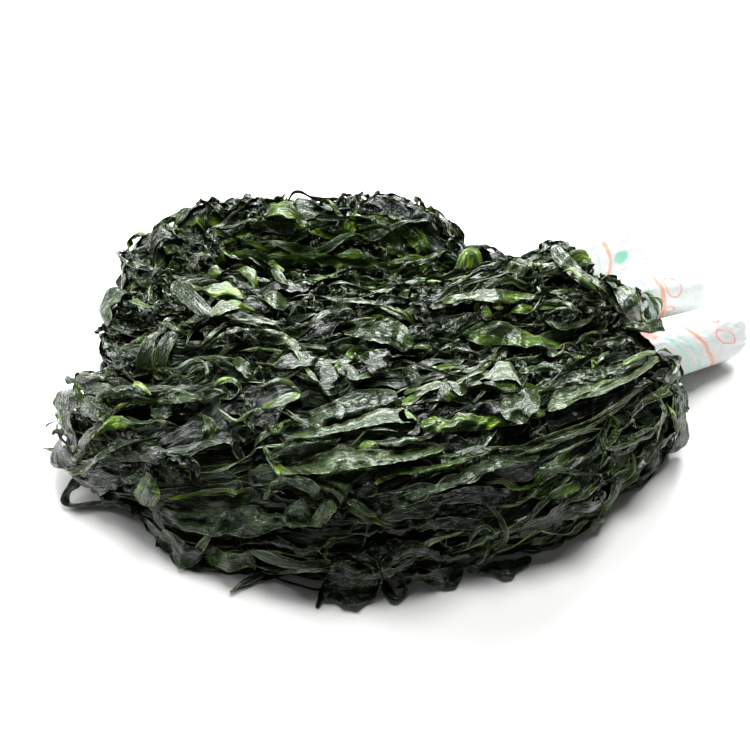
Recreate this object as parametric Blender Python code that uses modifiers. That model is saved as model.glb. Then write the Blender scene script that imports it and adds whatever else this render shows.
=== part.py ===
"""Salted wakame: three hanks of long seaweed fronds, lying side by side in a C, root ends wrapped.

Millimetres are used for every named size; MM turns them into metres at the end.
+X is to the right, +Y to the back, +Z up, and the heap stands on Z = 0.
"""

import math
import random

import bmesh
import bpy
import numpy as np
from mathutils import Matrix, Vector

MM = 0.001
SEED = 6

# The hanks. Each station is the plan position of the hank's middle, half its width and its height.
# A hank runs from its wrapped root end to its loose tips.
HANKS = {
    "rear": (
        (136, 92, 15, 38), (112, 78, 24, 48), (66, 58, 27, 48), (10, 45, 29, 45), (-52, 44, 32, 46),
        (-93, 65, 33, 50), (-76, 97, 29, 54), (-36, 112, 28, 60), (4, 115, 26, 60), (42, 109, 23, 57),
        (66, 98, 15, 44),
    ),
    "middle": (
        (150, 50, 17, 42), (122, 38, 28, 53), (70, 26, 32, 59), (10, 10, 36, 60), (-50, 8, 38, 56),
        (-88, 18, 35, 50), (-102, 46, 28, 48), (-95, 76, 23, 44),
    ),
    "front": (
        (160, 2, 20, 40), (126, -23, 37, 48), (64, -46, 48, 56), (0, -56, 50, 59), (-58, -49, 47, 54),
        (-98, -28, 39, 46), (-118, -8, 28, 38),
    ),
}
# Low strands that lie inside the rear hank's loop.
BED = ((-62, 78, 22, 24), (-20, 79, 26, 22), (30, 79, 24, 20), (66, 78, 16, 18))
SECTION_POWER = 2.3  # of the superellipse, between an ellipse at 2 and a box
BELLY = 0.65  # height of the section's widest place, in half heights: the sides tuck in under it
CORE_INSET = 7.0  # the fronds stand this far out of the core
GROOVE_DEPTH = 2.2  # of the clefts between the strands of the core
STRAND_PITCH = 34.0
CORE_STEP = 30.0  # between the core's stations
CORE_SIDES = 14
PATH_STEP = 3.0  # between the samples along a hank
ROUND_SAMPLES = 60  # samples round a section, from floor to floor

# Fronds. A frond is a thin wavy leaf, tucked into the core at its ends and along one edge.
LEAF_THICKNESS = 1.5
LEAF_STEP = 16.0  # between the rows of points along a frond
LEAF_LENGTH = (115, 170)
LEAF_HALF_WIDTH = (10.0, 14.5)
LEAF_TUCK = 2.0  # how far the tucked edge goes into the core
LEAF_SHARE_TAPERED = 0.22  # of its length, at each end
RUFFLE = 2.2
RUFFLE_LENGTH = 31.0
ROW_PITCH = 26.0  # between rows of fronds, measured round the hank
RUN_PITCH = 112.0  # between fronds in a row, measured along the hank
FLOOR_GAP = 1.2  # the lowest that the middle of a loose leaf lies over the floor

# Loose ends: points on the frond's middle as (x, y, z), half its width at the root and at the tip.
LOOSE_ENDS = (
    (((-104, -34, 26), (-122, -50, 12), (-127, -60, 3), (-112, -66, 2), (-92, -70, 3), (-78, -70, 9)), 3, 2),
    (((-112, -20, 14), (-130, -24, 9), (-142, -27, 3)), 3.0, 1.6),
    (((-104, 12, 30), (-126, 4, 30), (-140, -1, 27)), 8.0, 3.5),
    (((30, -74, 8), (-10, -90, 3), (-50, -93, 3), (-80, -83, 4), (-98, -64, 8)), 9.0, 7.0),
    (((20, -86, 6), (-20, -100, 2.2), (-38, -101, 2.2), (-50, -108, 2.2)), 3.4, 1.6),
    (((52, -84, 8), (24, -99, 3), (4, -107, 3), (-9, -114, 3)), 9.0, 2.2),
    (((18, -84, 8), (29, -100, 3), (30, -107, 5), (24, -112, 4), (16, -109, 4)), 3.6, 2.0),
    (((18, -88, 6), (42, -101, 3), (66, -100, 3), (92, -86, 4), (110, -68, 8)), 9.0, 6.0),
    (((84, -66, 10), (112, -68, 4), (134, -54, 3), (148, -38, 6)), 8.0, 5.0),
    (((128, -22, 34), (154, -26, 22), (166, -16, 12), (164, 2, 10)), 9.0, 6.0),
    (((48, 104, 40), (70, 96, 26), (76, 84, 12), (78, 72, 6)), 8.0, 4.0),
    (((48, 84, 10), (66, 84, 4), (82, 90, 8), (90, 96, 14)), 6.0, 3.0),
    (((-50, 100, 40), (-72, 110, 50), (-82, 108, 57)), 8.0, 3.0),
    (((102, 80, 34), (111, 94, 42), (112, 102, 47)), 8.0, 3.0),
    (((-16, 120, 30), (-28, 139, 10), (2, 143, 4), (34, 134, 6)), 9.0, 5.0),
)
LOOSE_STEP = 11.0

# The wrapped root ends: inner end and outer end of each one's axis.
WRAPS = {
    "wrap_front": ((150.0, 11.0, 29.0), (212.0, 51.5, 13.8)),
    "wrap_middle": ((150.0, 57.0, 29.0), (201.0, 86.0, 13.8)),
    "wrap_rear": ((130.0, 94.0, 27.0), (181.0, 138.0, 13.8)),
}
WRAP_RADIUS = 15.6
WRAP_MOUTH_RADIUS = 14.2
WRAP_SIDES = 20
WRAP_CREASE = 0.5
WRAP_GAP = 0.4
NECK_RADIUS = 11.0
NECK_SIDES = 12
NECK_FLUTING = 0.1  # of its radius
NECK_DEPTH = 16.0  # how far under the hank's top the bunch ends
NECK_REACH = 24.0  # how far along the hank it ends

FLOOR_CUT = 30.0  # depth of the block that makes the underside flat


def clear_scene():
    for thing in list(bpy.data.objects):
        bpy.data.objects.remove(thing)


def new_collection(name):
    made = bpy.data.collections.new(name)
    bpy.context.scene.collection.children.link(made)
    return made


def new_object(name, mesh, collection):
    made = bpy.data.objects.new(name, mesh)
    collection.objects.link(made)
    return made


def material(name, colour, roughness):
    made = bpy.data.materials.new(name)
    made.use_nodes = True
    shader = made.node_tree.nodes["Principled BSDF"]
    shader.inputs["Base Color"].default_value = (*colour, 1.0)
    shader.inputs["Roughness"].default_value = roughness
    shader.inputs["Metallic"].default_value = 0.0
    return made


def spline(points, count):
    """count points evenly spread in parameter on a Catmull-Rom curve through points."""
    points = np.asarray(points, float)
    ends = 2 * points[[0, -1]] - points[[1, -2]]
    padded = np.vstack([ends[:1], points, ends[1:]])
    at = np.linspace(0, len(points) - 1 - 1e-9, count)
    i = at.astype(int)
    f = (at - i)[:, None]
    a, b, c, d = (padded[i + k] for k in range(4))
    return 0.5 * (2 * b + (c - a) * f + (2 * a - 5 * b + 4 * c - d) * f**2 + (3 * (b - c) + d - a) * f**3)


def even_spline(points, step):
    """A smooth curve through points, sampled about every step along its length."""
    fine = spline(points, 40 * len(points))
    width = 3 if fine.shape[1] == 3 else 2
    run = np.r_[0, np.cumsum(np.linalg.norm(np.diff(fine[:, :width], axis=0), axis=1))]
    at = np.linspace(0, run[-1], max(3, round(run[-1] / step) + 1))
    return np.stack([np.interp(at, run, column) for column in fine.T], axis=1)


def signed_power(x, power):
    return np.sign(x) * np.abs(x) ** power


class Hank:
    """One hank as a surface: its points and outward normals over (distance along, share round)."""

    def __init__(self, stations):
        track = even_spline(stations, PATH_STEP)
        self.middle, self.half_width, self.height = track[:, :2], track[:, 2], track[:, 3]
        along = np.gradient(self.middle, axis=0)
        self.along = along / np.linalg.norm(along, axis=1)[:, None]
        self.left = np.stack([-self.along[:, 1], self.along[:, 0]], axis=1)
        self.length = PATH_STEP * (len(track) - 1)
        self.points = np.array([self.section(i) for i in range(len(track))])
        steps = np.linalg.norm(np.diff(self.points, axis=1), axis=2)
        self.round = steps.sum(axis=1)
        normal = np.cross(np.gradient(self.points, axis=0), np.gradient(self.points, axis=1))
        self.normals = normal / np.linalg.norm(normal, axis=2)[:, :, None]

    def section(self, i):
        """Points of section i from floor to floor, over the top, evenly spaced."""
        half_height = self.height[i] / (1 + BELLY)
        lowest = math.pi - math.acos(BELLY ** (SECTION_POWER / 2))
        turn = np.linspace(-lowest, lowest, 8 * ROUND_SAMPLES)
        side = self.half_width[i] * signed_power(np.sin(turn), 2 / SECTION_POWER)
        up = half_height * (BELLY + signed_power(np.cos(turn), 2 / SECTION_POWER))
        run = np.r_[0, np.cumsum(np.hypot(np.diff(side), np.diff(up)))]
        even = np.linspace(0, run[-1], ROUND_SAMPLES)
        side, up = np.interp(even, run, side), np.interp(even, run, up)
        plan = self.middle[i] + side[:, None] * self.left[i]
        return np.column_stack([plan, up])

    def at(self, distance, share, out=0.0):
        """The point at a distance along the hank and a share round it, moved out along the normal."""
        u = np.clip(np.asarray(distance, float) / self.length, 0, 1) * (len(self.points) - 1.001)
        v = np.clip(np.asarray(share, float), 0, 1) * (ROUND_SAMPLES - 1.001)
        i, j = u.astype(int), v.astype(int)
        fu, fv = (u - i)[..., None], (v - j)[..., None]

        def mixed(grid):
            low = grid[i, j] * (1 - fv) + grid[i, j + 1] * fv
            high = grid[i + 1, j] * (1 - fv) + grid[i + 1, j + 1] * fv
            return low * (1 - fu) + high * fu

        return mixed(self.points) + mixed(self.normals) * np.asarray(out, float)[..., None]

    def girth(self, distance):
        """The distance round the hank, from floor to floor over the top, at a distance along it."""
        return float(np.interp(distance, np.linspace(0, self.length, len(self.round)), self.round))

    def holds(self, point):
        """Whether the point is inside this hank."""
        gap = point[:2] - self.middle
        i = int(np.argmin((gap**2).sum(axis=1)))
        half_height = self.height[i] / (1 + BELLY)
        across = abs(gap[i] @ self.left[i]) / self.half_width[i]
        rise = abs(point[2] / half_height - BELLY)
        past_end = abs(gap[i] @ self.along[i]) > 2 * PATH_STEP
        return not past_end and across**SECTION_POWER + rise**SECTION_POWER < 1


def lofted(sections):
    """A closed mesh through rings of points, with a fan over each end."""
    bm = bmesh.new()
    rings = [[bm.verts.new(Vector(point) * MM) for point in ring] for ring in sections]
    for low, high in zip(rings, rings[1:]):
        for k in range(len(low)):
            following = (k + 1) % len(low)
            bm.faces.new((low[k], low[following], high[following], high[k]))
    for ring in (rings[0], rings[-1]):
        centre = bm.verts.new(sum((v.co for v in ring), Vector()) / len(ring))
        for k in range(len(ring)):
            bm.faces.new((ring[k], ring[(k + 1) % len(ring)], centre))
    bmesh.ops.recalc_face_normals(bm, faces=bm.faces[:])
    if bm.calc_volume(signed=True) < 0:
        bmesh.ops.reverse_faces(bm, faces=bm.faces[:])
    mesh = bpy.data.meshes.new("loft")
    bm.to_mesh(mesh)
    bm.free()
    return mesh


def core_mesh(hank, phase):
    """The hank's closed core, with clefts along it between its strands. It ends below the floor."""
    stations = max(6, round(hank.length / CORE_STEP))
    rings = []
    for f in np.linspace(0.0, 1.0, stations):
        distance = hank.length * f
        girth = hank.girth(distance)
        share = np.linspace(0.0, 1.0, CORE_SIDES)
        wander = phase + 1.4 * math.sin(5.0 * f + phase)
        cleft = np.cos(2 * math.pi * share * girth / STRAND_PITCH + wander)
        over = hank.at(np.full_like(share, distance), share, -CORE_INSET + GROOVE_DEPTH * cleft)
        over[0, 2] = over[-1, 2] = -4.0
        middle = (over[0] + over[-1]) / 2
        rings.append(np.vstack([over, middle]))
    return lofted(rings)


def ring_axes(axis):
    """Two directions across an axis: one level, one upward."""
    across = np.cross(axis, (0, 0, 1.0))
    across /= np.linalg.norm(across)
    return across, np.cross(across, axis)


def ring_of(centre, across, upward, turn, reach):
    """Points round a centre, each at its own reach."""
    return centre + reach[:, None] * (np.cos(turn)[:, None] * across + np.sin(turn)[:, None] * upward)


def neck_mesh(wrap, hank):
    """The round bunch of stalks between a wrap's mouth and the hank."""
    inner, outer = (np.array(end) for end in WRAPS[wrap])
    axis = (outer - inner) / np.linalg.norm(outer - inner)
    start = inner - axis * WRAP_GAP
    goal = hank.at(NECK_REACH, 0.5, -NECK_DEPTH)
    across, upward = ring_axes(axis)
    turn = np.linspace(0, 2 * math.pi, NECK_SIDES, endpoint=False)
    rings = []
    for f in np.linspace(0, 1, 4):
        reach = NECK_RADIUS * (1 + NECK_FLUTING * np.cos(3 * turn + f))
        rings.append(ring_of(start * (1 - f) + goal * f, across, upward, turn, reach))
    return lofted(rings)


def leaf_surface(rows):
    """An open leaf from rows of points, each row running across it, split into triangles all one way."""
    bm = bmesh.new()
    grid = [[bm.verts.new(Vector(point) * MM) for point in row] for row in rows]
    for low, high in zip(grid, grid[1:]):
        for k in range(len(low) - 1):
            bm.faces.new((low[k], low[k + 1], high[k + 1]))
            bm.faces.new((low[k], high[k + 1], high[k]))
    mesh = bpy.data.meshes.new("leaf")
    bm.to_mesh(mesh)
    bm.free()
    return mesh


def solid_leaf(name, rows, collection):
    """A leaf with its thickness: an open surface made solid, then kept as a plain mesh."""
    sheet = new_object(name + "_sheet", leaf_surface(rows), collection)
    thicken = sheet.modifiers.new("thickness", "SOLIDIFY")
    thicken.thickness = LEAF_THICKNESS * MM
    thicken.offset = 0.0
    bpy.context.view_layer.update()
    graph = bpy.context.evaluated_depsgraph_get()
    mesh = bpy.data.meshes.new_from_object(sheet.evaluated_get(graph))
    bpy.data.objects.remove(sheet)
    return new_object(name, mesh, collection)


def frond_rows(hank, start, length, share, half_width, side, rng):
    """Rows of points of a frond lying along a hank: one edge is tucked into the core, the other is free."""
    count = max(5, round(length / LEAF_STEP))
    drift = rng.uniform(-0.05, 0.05)
    phases = [rng.uniform(0, 2 * math.pi) for _ in range(3)]
    tucked = -CORE_INSET - LEAF_TUCK
    rows = []
    for i in range(count):
        f = i / (count - 1)
        distance = start + length * f
        girth = hank.girth(distance)
        rise = min(1.0, f / LEAF_SHARE_TAPERED, (1 - f) / LEAF_SHARE_TAPERED)
        ripple = [math.sin(phase + 2 * math.pi * length * f / RUFFLE_LENGTH) for phase in phases]
        half = half_width * (0.45 + 0.55 * rise) * (1 + 0.12 * ripple[0])
        centre = share + drift * math.sin(math.pi * f + phases[0])
        middle = tucked + rise * (CORE_INSET + LEAF_TUCK - 3.5 + 0.4 * RUFFLE * ripple[1])
        free = tucked + rise * (CORE_INSET + LEAF_TUCK - 1.5 + RUFFLE * ripple[2])
        shares = centre + np.array([-1.0, 0.0, 1.0]) * side * half / girth
        rows.append(hank.at(np.full(3, distance), shares, (tucked, middle, free)))
    return rows


def hidden(hank, rows, hanks):
    """Whether most of the frond's middle lies inside the other hanks."""
    others = [other for other in hanks.values() if other is not hank]
    inside = [any(other.holds(row[1]) for other in others) for row in rows]
    return np.mean(inside) > 0.55


def near_wrap(rows):
    """Whether the frond comes close to a wrap's axis."""
    for inner, outer in WRAPS.values():
        inner, outer = np.array(inner), np.array(outer)
        line = outer - inner
        for row in rows:
            for point in row:
                share = np.clip((point - inner) @ line / (line @ line), 0, 1)
                if np.linalg.norm(point - inner - share * line) < WRAP_RADIUS + 2:
                    return True
    return False


def add_fronds(hanks, collection):
    """Rows of fronds round each hank, each row started at its own place along it."""
    rng = random.Random(SEED)
    for name, hank in hanks.items():
        girth = float(np.median(hank.round))
        rows_round = max(3, round((girth - 16) / ROW_PITCH))
        runs = max(2, round(hank.length / RUN_PITCH))
        for r in range(rows_round):
            for k in range(runs):
                share = 0.09 + 0.82 * (r + 0.5 + rng.uniform(-0.25, 0.25)) / rows_round
                length = rng.uniform(*LEAF_LENGTH)
                start = (k + (r % 2) * 0.5 + rng.uniform(-0.2, 0.2)) * RUN_PITCH - 20
                start = min(max(start, 6.0), hank.length - 60)
                length = min(length, hank.length - start)
                half_width = rng.uniform(*LEAF_HALF_WIDTH)
                side = 1 if share > 0.5 else -1
                rows = frond_rows(hank, start, length, share, half_width, side, rng)
                if hidden(hank, rows, hanks) or near_wrap(rows):
                    continue
                solid_leaf(f"frond_{name}_{r}_{k}", rows, collection)


def loose_rows(points, root_half, tip_half):
    """Rows of a frond that leaves the heap and lies loose, its edges ruffled."""
    path = even_spline(points, LOOSE_STEP)
    along = np.gradient(path, axis=0)
    along /= np.linalg.norm(along, axis=1)[:, None]
    across = np.cross(along, (0, 0, 1.0))
    across /= np.linalg.norm(across, axis=1)[:, None]
    rows = []
    for i, (point, sideways) in enumerate(zip(path, across)):
        f = i / (len(path) - 1)
        half = root_half + (tip_half - root_half) * f
        ripple = min(RUFFLE, 0.35 * half) * (1 if i % 2 else -1)
        row = [point - sideways * half, point, point + sideways * half]
        row[0] = row[0] + (0, 0, ripple)
        row[2] = row[2] + (0, 0, -0.6 * ripple)
        row = np.array(row)
        row[:, 2] = np.maximum(row[:, 2], FLOOR_GAP)
        rows.append(row)
    return rows


def add_loose_ends(collection):
    for k, (points, root_half, tip_half) in enumerate(LOOSE_ENDS):
        solid_leaf(f"loose_{k}", loose_rows(points, root_half, tip_half), collection)


def wrap_profile(length, grown):
    """(distance along, radius) of a wrap, from its open mouth to its folded end."""
    return (
        (-grown, WRAP_MOUTH_RADIUS + grown),
        (length * 0.12, WRAP_RADIUS + grown),
        (length * 0.55, WRAP_RADIUS * 0.98 + grown),
        (length * 0.84, WRAP_RADIUS + grown),
        (length * 0.95, WRAP_RADIUS * 0.80 + grown),
        (length + grown, WRAP_RADIUS * 0.38 + grown),
    )


def wrap_mesh(inner, outer, grown=0.0):
    """A wrapped root end: film round the stalks, creased along it and folded shut at its outer end."""
    inner, outer = np.array(inner), np.array(outer)
    length = float(np.linalg.norm(outer - inner))
    axis = (outer - inner) / length
    across, upward = ring_axes(axis)
    turn = np.linspace(0, 2 * math.pi, WRAP_SIDES, endpoint=False)
    rings = []
    for distance, radius in wrap_profile(length, grown):
        reach = radius + WRAP_CREASE * np.cos(5 * turn + 0.05 * distance)
        rings.append(ring_of(inner + axis * distance, across, upward, turn, reach))
    return lofted(rings)


def apply_boolean(target, operation, collection):
    """Applies one Boolean of target with a collection, and removes the collection's objects."""
    tool = target.modifiers.new(operation.lower(), "BOOLEAN")
    tool.operation = operation
    tool.solver = "MANIFOLD"
    tool.operand_type = "COLLECTION"
    tool.collection = collection
    bpy.context.view_layer.update()
    graph = bpy.context.evaluated_depsgraph_get()
    mesh = bpy.data.meshes.new_from_object(target.evaluated_get(graph))
    target.modifiers.clear()
    target.data = mesh
    for thing in list(collection.objects):
        bpy.data.objects.remove(thing)


def islands(bm):
    """The mesh's shells, as lists of faces. Shells that only touch along an edge are separate."""
    left = set(bm.faces)
    found = []
    while left:
        shell, edge_of_shell = [], [left.pop()]
        while edge_of_shell:
            face = edge_of_shell.pop()
            shell.append(face)
            near = {other for edge in face.edges if edge.is_manifold for other in edge.link_faces} & left
            left -= near
            edge_of_shell.extend(near)
        found.append(shell)
    return found


def keep_largest_shell(mesh):
    """Fills what fusing sealed and drops loose scraps: both are shells of their own."""
    bm = bmesh.new()
    bm.from_mesh(mesh)
    bmesh.ops.triangulate(bm, faces=bm.faces[:])
    shells = sorted(islands(bm), key=len)
    unwanted = [face for shell in shells[:-1] for face in shell]
    bmesh.ops.delete(bm, geom=unwanted, context="FACES")
    bm.to_mesh(mesh)
    bm.free()


def build_heap(hanks, parts):
    """The three hanks as one solid: cores, necks, fronds and loose ends in one union, flat underneath."""
    pieces = new_collection("pieces")
    names = list(hanks)
    heap = new_object("wakame", core_mesh(hanks[names[0]], 0.4), parts)
    for phase, name in enumerate(names[1:]):
        new_object("core_" + name, core_mesh(hanks[name], 1.3 + phase), pieces)
    new_object("bed", core_mesh(Hank(BED), 0.0), pieces)
    for name, hank in hanks.items():
        new_object("neck_" + name, neck_mesh("wrap_" + name, hank), pieces)
    add_fronds(hanks, pieces)
    add_loose_ends(pieces)
    apply_boolean(heap, "UNION", pieces)
    cutters = new_collection("cutters")
    bpy.ops.mesh.primitive_cube_add(size=1.0, location=(0, 0, -FLOOR_CUT / 2 * MM))
    floor = bpy.context.active_object
    floor.scale = (0.6, 0.6, FLOOR_CUT * MM)
    bpy.context.view_layer.update()
    floor.data.transform(floor.matrix_world)
    floor.matrix_world = Matrix.Identity(4)
    for holder in list(floor.users_collection):
        holder.objects.unlink(floor)
    cutters.objects.link(floor)
    for name, (inner, outer) in WRAPS.items():
        new_object("clear_of_" + name, wrap_mesh(inner, outer, WRAP_GAP), cutters)
    apply_boolean(heap, "DIFFERENCE", cutters)
    keep_largest_shell(heap.data)
    return heap


def centre_on_origin(things):
    """Moves everything so that the origin is under the middle of the whole, on the floor."""
    corners = np.array([v.co for thing in things for v in thing.data.vertices])
    middle = (corners.min(axis=0) + corners.max(axis=0)) / 2
    move = Matrix.Translation((-middle[0], -middle[1], 0))
    for thing in things:
        thing.data.transform(move)


def main():
    clear_scene()
    parts = new_collection("salted_wakame")
    hanks = {name: Hank(stations) for name, stations in HANKS.items()}
    heap = build_heap(hanks, parts)
    heap.data.materials.clear()
    heap.data.materials.append(material("seaweed", (0.012, 0.022, 0.010), 0.32))
    film = material("film", (0.86, 0.88, 0.86), 0.35)
    wraps = []
    for name, (inner, outer) in WRAPS.items():
        wrap = new_object(name, wrap_mesh(inner, outer), parts)
        wrap.data.materials.append(film)
        wrap.data.shade_smooth()
        wraps.append(wrap)
    centre_on_origin([heap, *wraps])


main()
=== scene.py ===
"""Looks of the salted wakame: thin fronds laid over three hanks, and the film round their root ends.

Lengths are in millimetres in the heap's own plan: +X right, +Y back, +Z up. to_part() turns them into the
part's frame, in metres.
"""

import math
import random

import bpy
import numpy as np
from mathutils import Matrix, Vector
from mathutils.bvhtree import BVHTree


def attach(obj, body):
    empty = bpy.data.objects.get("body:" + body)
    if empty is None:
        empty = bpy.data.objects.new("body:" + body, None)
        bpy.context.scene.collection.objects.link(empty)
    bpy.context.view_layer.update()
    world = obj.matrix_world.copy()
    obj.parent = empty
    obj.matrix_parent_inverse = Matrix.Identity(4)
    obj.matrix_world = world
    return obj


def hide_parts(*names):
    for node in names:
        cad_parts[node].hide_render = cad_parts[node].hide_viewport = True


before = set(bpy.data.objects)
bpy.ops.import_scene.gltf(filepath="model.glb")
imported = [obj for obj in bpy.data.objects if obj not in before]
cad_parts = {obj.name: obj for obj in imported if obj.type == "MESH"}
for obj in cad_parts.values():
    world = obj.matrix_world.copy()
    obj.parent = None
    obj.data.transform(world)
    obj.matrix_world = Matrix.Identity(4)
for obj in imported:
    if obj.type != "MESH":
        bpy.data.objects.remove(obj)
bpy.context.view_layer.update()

SEED = 5  # of the random draws
# The seeds of the noise that shapes each leaf: the first one's, and the step from one to the next.
FROND_SEEDS = (53, 13)
CURL_SEEDS = (20000, 11)
THREAD_SEEDS = (30000, 17)
SEEN_SEEDS = (9000, 31)
FLOOR_SEEDS = (9900, 31)
TRACED_SEEDS = (12000, 37)
FILM_SEEDS = (300, 70)
HANK_SEEDS = {"rear": 2800, "middle": 4200, "front": 3500, "bed": 2100}  # more, for its curls and threads
CORE_SEEDS = {"rear": 900, "middle": 903, "front": 905, "bed": 908}
ROOT_SEEDS = {"wrap_front": 12010, "wrap_middle": 12511, "wrap_rear": 11509}
ROOT_SEED_STEP = 17
HASH = (374761393, 668265263, 144269504, 1274126177)  # large numbers that scatter whole ones
NOISE_GAIN = 1.6  # brings gradient noise to about -1 to 1
RIDGE_GAIN = 2.4

PLAN_TO_PART = np.array([-36.71, -17.0, 0.0])  # the heap's plan origin, seen from the part's origin

# The hanks, as in the solids: plan position of the middle, half the width and the height at each station.
HANKS = {
    "rear": (
        (130, 90, 15, 36), (112, 78, 23, 46), (66, 58, 27, 47), (10, 45, 29, 44), (-52, 44, 32, 45),
        (-97, 64, 34, 49), (-86, 97, 31, 52), (-40, 111, 27, 54), (2, 113, 25, 53), (40, 107, 22, 51),
        (59, 99, 14, 41),
    ),
    "middle": (
        (143, 47, 17, 40), (120, 37, 27, 52), (70, 26, 32, 58), (10, 10, 36, 59), (-50, 8, 38, 55),
        (-88, 18, 35, 49), (-103, 46, 28, 47), (-96, 76, 23, 43),
    ),
    "front": (
        (148, 1, 18, 38), (122, -20, 31, 46), (64, -46, 47, 56), (4, -56, 50, 59), (-30, -50, 43, 57),
        (-60, -45, 41, 53), (-97, -28, 33, 45), (-109, -9, 24, 36),
    ),
    "bed": ((-62, 78, 22, 24), (-20, 79, 26, 22), (30, 79, 24, 20), (66, 78, 16, 18)),
}
# How far a hank's fronds drift round it, for each millimetre along it, and how much their directions vary.
TWIST = {"rear": 0.10, "middle": 0.17, "front": 0.22, "bed": 0.0}
SHEER = {"rear": 0.55, "middle": 0.40, "front": 0.22, "bed": 0.4}  # the share of thin bright fronds
MESS = {"rear": 0.34, "middle": 0.24, "front": 0.13, "bed": 0.3}
LONGEST = {"rear": 120, "middle": 170, "front": 260, "bed": 90}
SECTION_POWER = 2.3
BELLY = 0.65
CELL = 2.0  # size of the cells in which each hank keeps how high its fronds lie
ROUND_CELLS = 96
CAP_REACH = 0.3  # how far a hank's round end goes past its last station, in half widths
CAP_ROWS = 7
CAP_LEAST = 0.04  # the size of the last section of a round end
LEAST_GIRTH = 12.0
HIDDEN_MARGIN = 3.0  # how far inside another hank a place is hidden

CORE_DEPTH = 9.5  # of the bare core under the heap's outer surface
CORE_RELIEF = 1.6
STRAND_RELIEF = 3.4
STRAND_WIDTH = 20.0
STRAND_LENGTH = 110.0
LEAF_GAP = 0.7  # between a frond and what it lies on
END_TUCK = 3.0  # how far a frond's ends go down among the others
END_LENGTH = 9.0  # of the part of a frond that goes down
STIFFNESS = 0.4  # the share of a frond's height that its middle line gives to its whole width
LEAF_LIFT = 0.8
FLOOR = 0.5  # the lowest that a frond lies
MOST_RISE = 5.5  # of any point of a frond from the middle of the frond
RIM_HIGHLIGHT = 1.6  # how far in from its edge a frond gets a painted highlight, the light that its rim catches

WRAPS = {
    "wrap_front": ((150.0, 11.0, 29.0), (212.0, 51.5, 13.8)),
    "wrap_middle": ((150.0, 57.0, 29.0), (201.0, 86.0, 13.8)),
    "wrap_rear": ((130.0, 94.0, 27.0), (181.0, 138.0, 13.8)),
}
WRAP_RADIUS = 15.6
WRAP_MOUTH = -10.0  # where the film starts, from the inner end of its axis
MOUTH_FILL = -6.0  # how far the fronds reach into it
WRAP_CLEARANCE = 0.7  # between the film and the fronds that touch it
WRAP_DEEP = 0.93  # times its radius: from there in, a frond goes back to the mouth and doesn't move aside
WRAP_DRAWN = 0.85  # how far back it goes
WRAP_LIP = 9.0  # how far the film's turned-in lip goes in, from the inner end of its axis
WRAP_END = 15.0  # the length of its rounded end
WRAP_ROWS = 76
WRAP_LIP_ROWS = 8
WRAP_COLUMNS = 90
MOUTH_UNEVEN = 3.2  # how far its mouth goes in and out
GATHERS = 15  # round its end
GATHER_DEPTH = 1.5
CREASE_DEPTH = 0.28
# Rings that shut its end: their size, and how far in they are.
WRAP_PUCKER = ((0.6, 0.5), (0.3, 1.3), (0.02, 1.9))
# How much the print of each wrap slants round it, and how far it is shifted along it, in centimetres.
PRINT_SET = {"wrap_front": (0.94, 0.15), "wrap_middle": (0.1, 0.2), "wrap_rear": (0.0, 0.0)}
PRINT_APART = 20.0  # round the film, from one wrap's print to the next one's
# The print, in centimetres along the film and round it from its top. A band has its middle and half its
# width. A ring or spot has its middle along and round, half its width along and round, and its thickness.
GREEN_BANDS = ((0.40, 0.07), (-0.45, 0.12))
RED_BANDS = ((1.50, 0.15),)
RED_OVALS = (
    (-0.85, -0.2, 0.2, 0.2, 0.4),
    (3.4, -1.5, 0.62, 0.46, 0.07),
    (4.57, 0.2, 0.4, 0.16, 0.05),
    (3.9, -0.5, 0.3, 0.14, 0.05),
    (4.2, 2.6, 0.6, 0.5, 0.07),
    (2.5, 19.0, 0.66, 0.58, 0.07),
    (2.0, 17.8, 0.45, 0.16, 0.05),
    (3.2, 22.2, 0.6, 0.5, 0.07),
    (3.6, 39.6, 0.5, 0.5, 0.07),
    (3.4, 42.4, 0.6, 0.5, 0.07),
)
GREEN_SPOTS = ((2.6, 38.3, 0.27, 0.15, 0.3), (-0.35, 38.3, 0.1, 0.12, 0.2), (2.9, 42.0, 0.2, 0.12, 0.24))

# Kinds of frond: half the width of the flat leaf, its length and its pleats' width, as (least, most), and
# how strongly it turns away from flat, in radians: in pleats, in small crumples, at its rims, and in all.
# The crumples' grain is their size across and along the leaf, fold is how much of it is folded over, buckle
# how far it waves up and down, and bump how wrinkled its surface is.
KINDS = {
    "broad": dict(
        half=(9, 17), length=(130, 260), wide=(7, 12),
        pleat=0.5, crumple=0.3, grain=(4.5, 9.0), ruffle=0.8,
        fold=0.65, tilt=0.6, buckle=0.8, bump=0.8,
    ),
    "strap": dict(
        half=(4, 11), length=(90, 250), wide=(4.5, 8),
        pleat=0.65, crumple=0.45, grain=(3.6, 7.0), ruffle=1.0,
        fold=0.65, tilt=1.0, buckle=0.9, bump=0.9,
    ),
    "shrivelled": dict(
        half=(4, 9), length=(40, 120), wide=(3.5, 6),
        pleat=1.3, crumple=1.5, grain=(3.0, 4.2), ruffle=1.0,
        fold=0.4, tilt=0.8, buckle=2.2, bump=1.0,
    ),
    "smooth": dict(
        half=(8, 14), length=(90, 200), wide=(8, 13),
        pleat=0.75, crumple=0.3, grain=(4.5, 9.0), ruffle=0.6,
        fold=0.45, tilt=0.25, buckle=1.0, bump=0.7,
    ),
    "stalk": dict(
        half=(1.4, 2.6), length=(80, 220), wide=(3, 5),
        pleat=1.2, crumple=0.4, grain=(3.0, 8.0), ruffle=0.4,
        fold=0.2, tilt=1.2, buckle=1.4, bump=0.5,
    ),
}
LAID_KINDS = ("broad", "strap", "shrivelled", "stalk")
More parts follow.
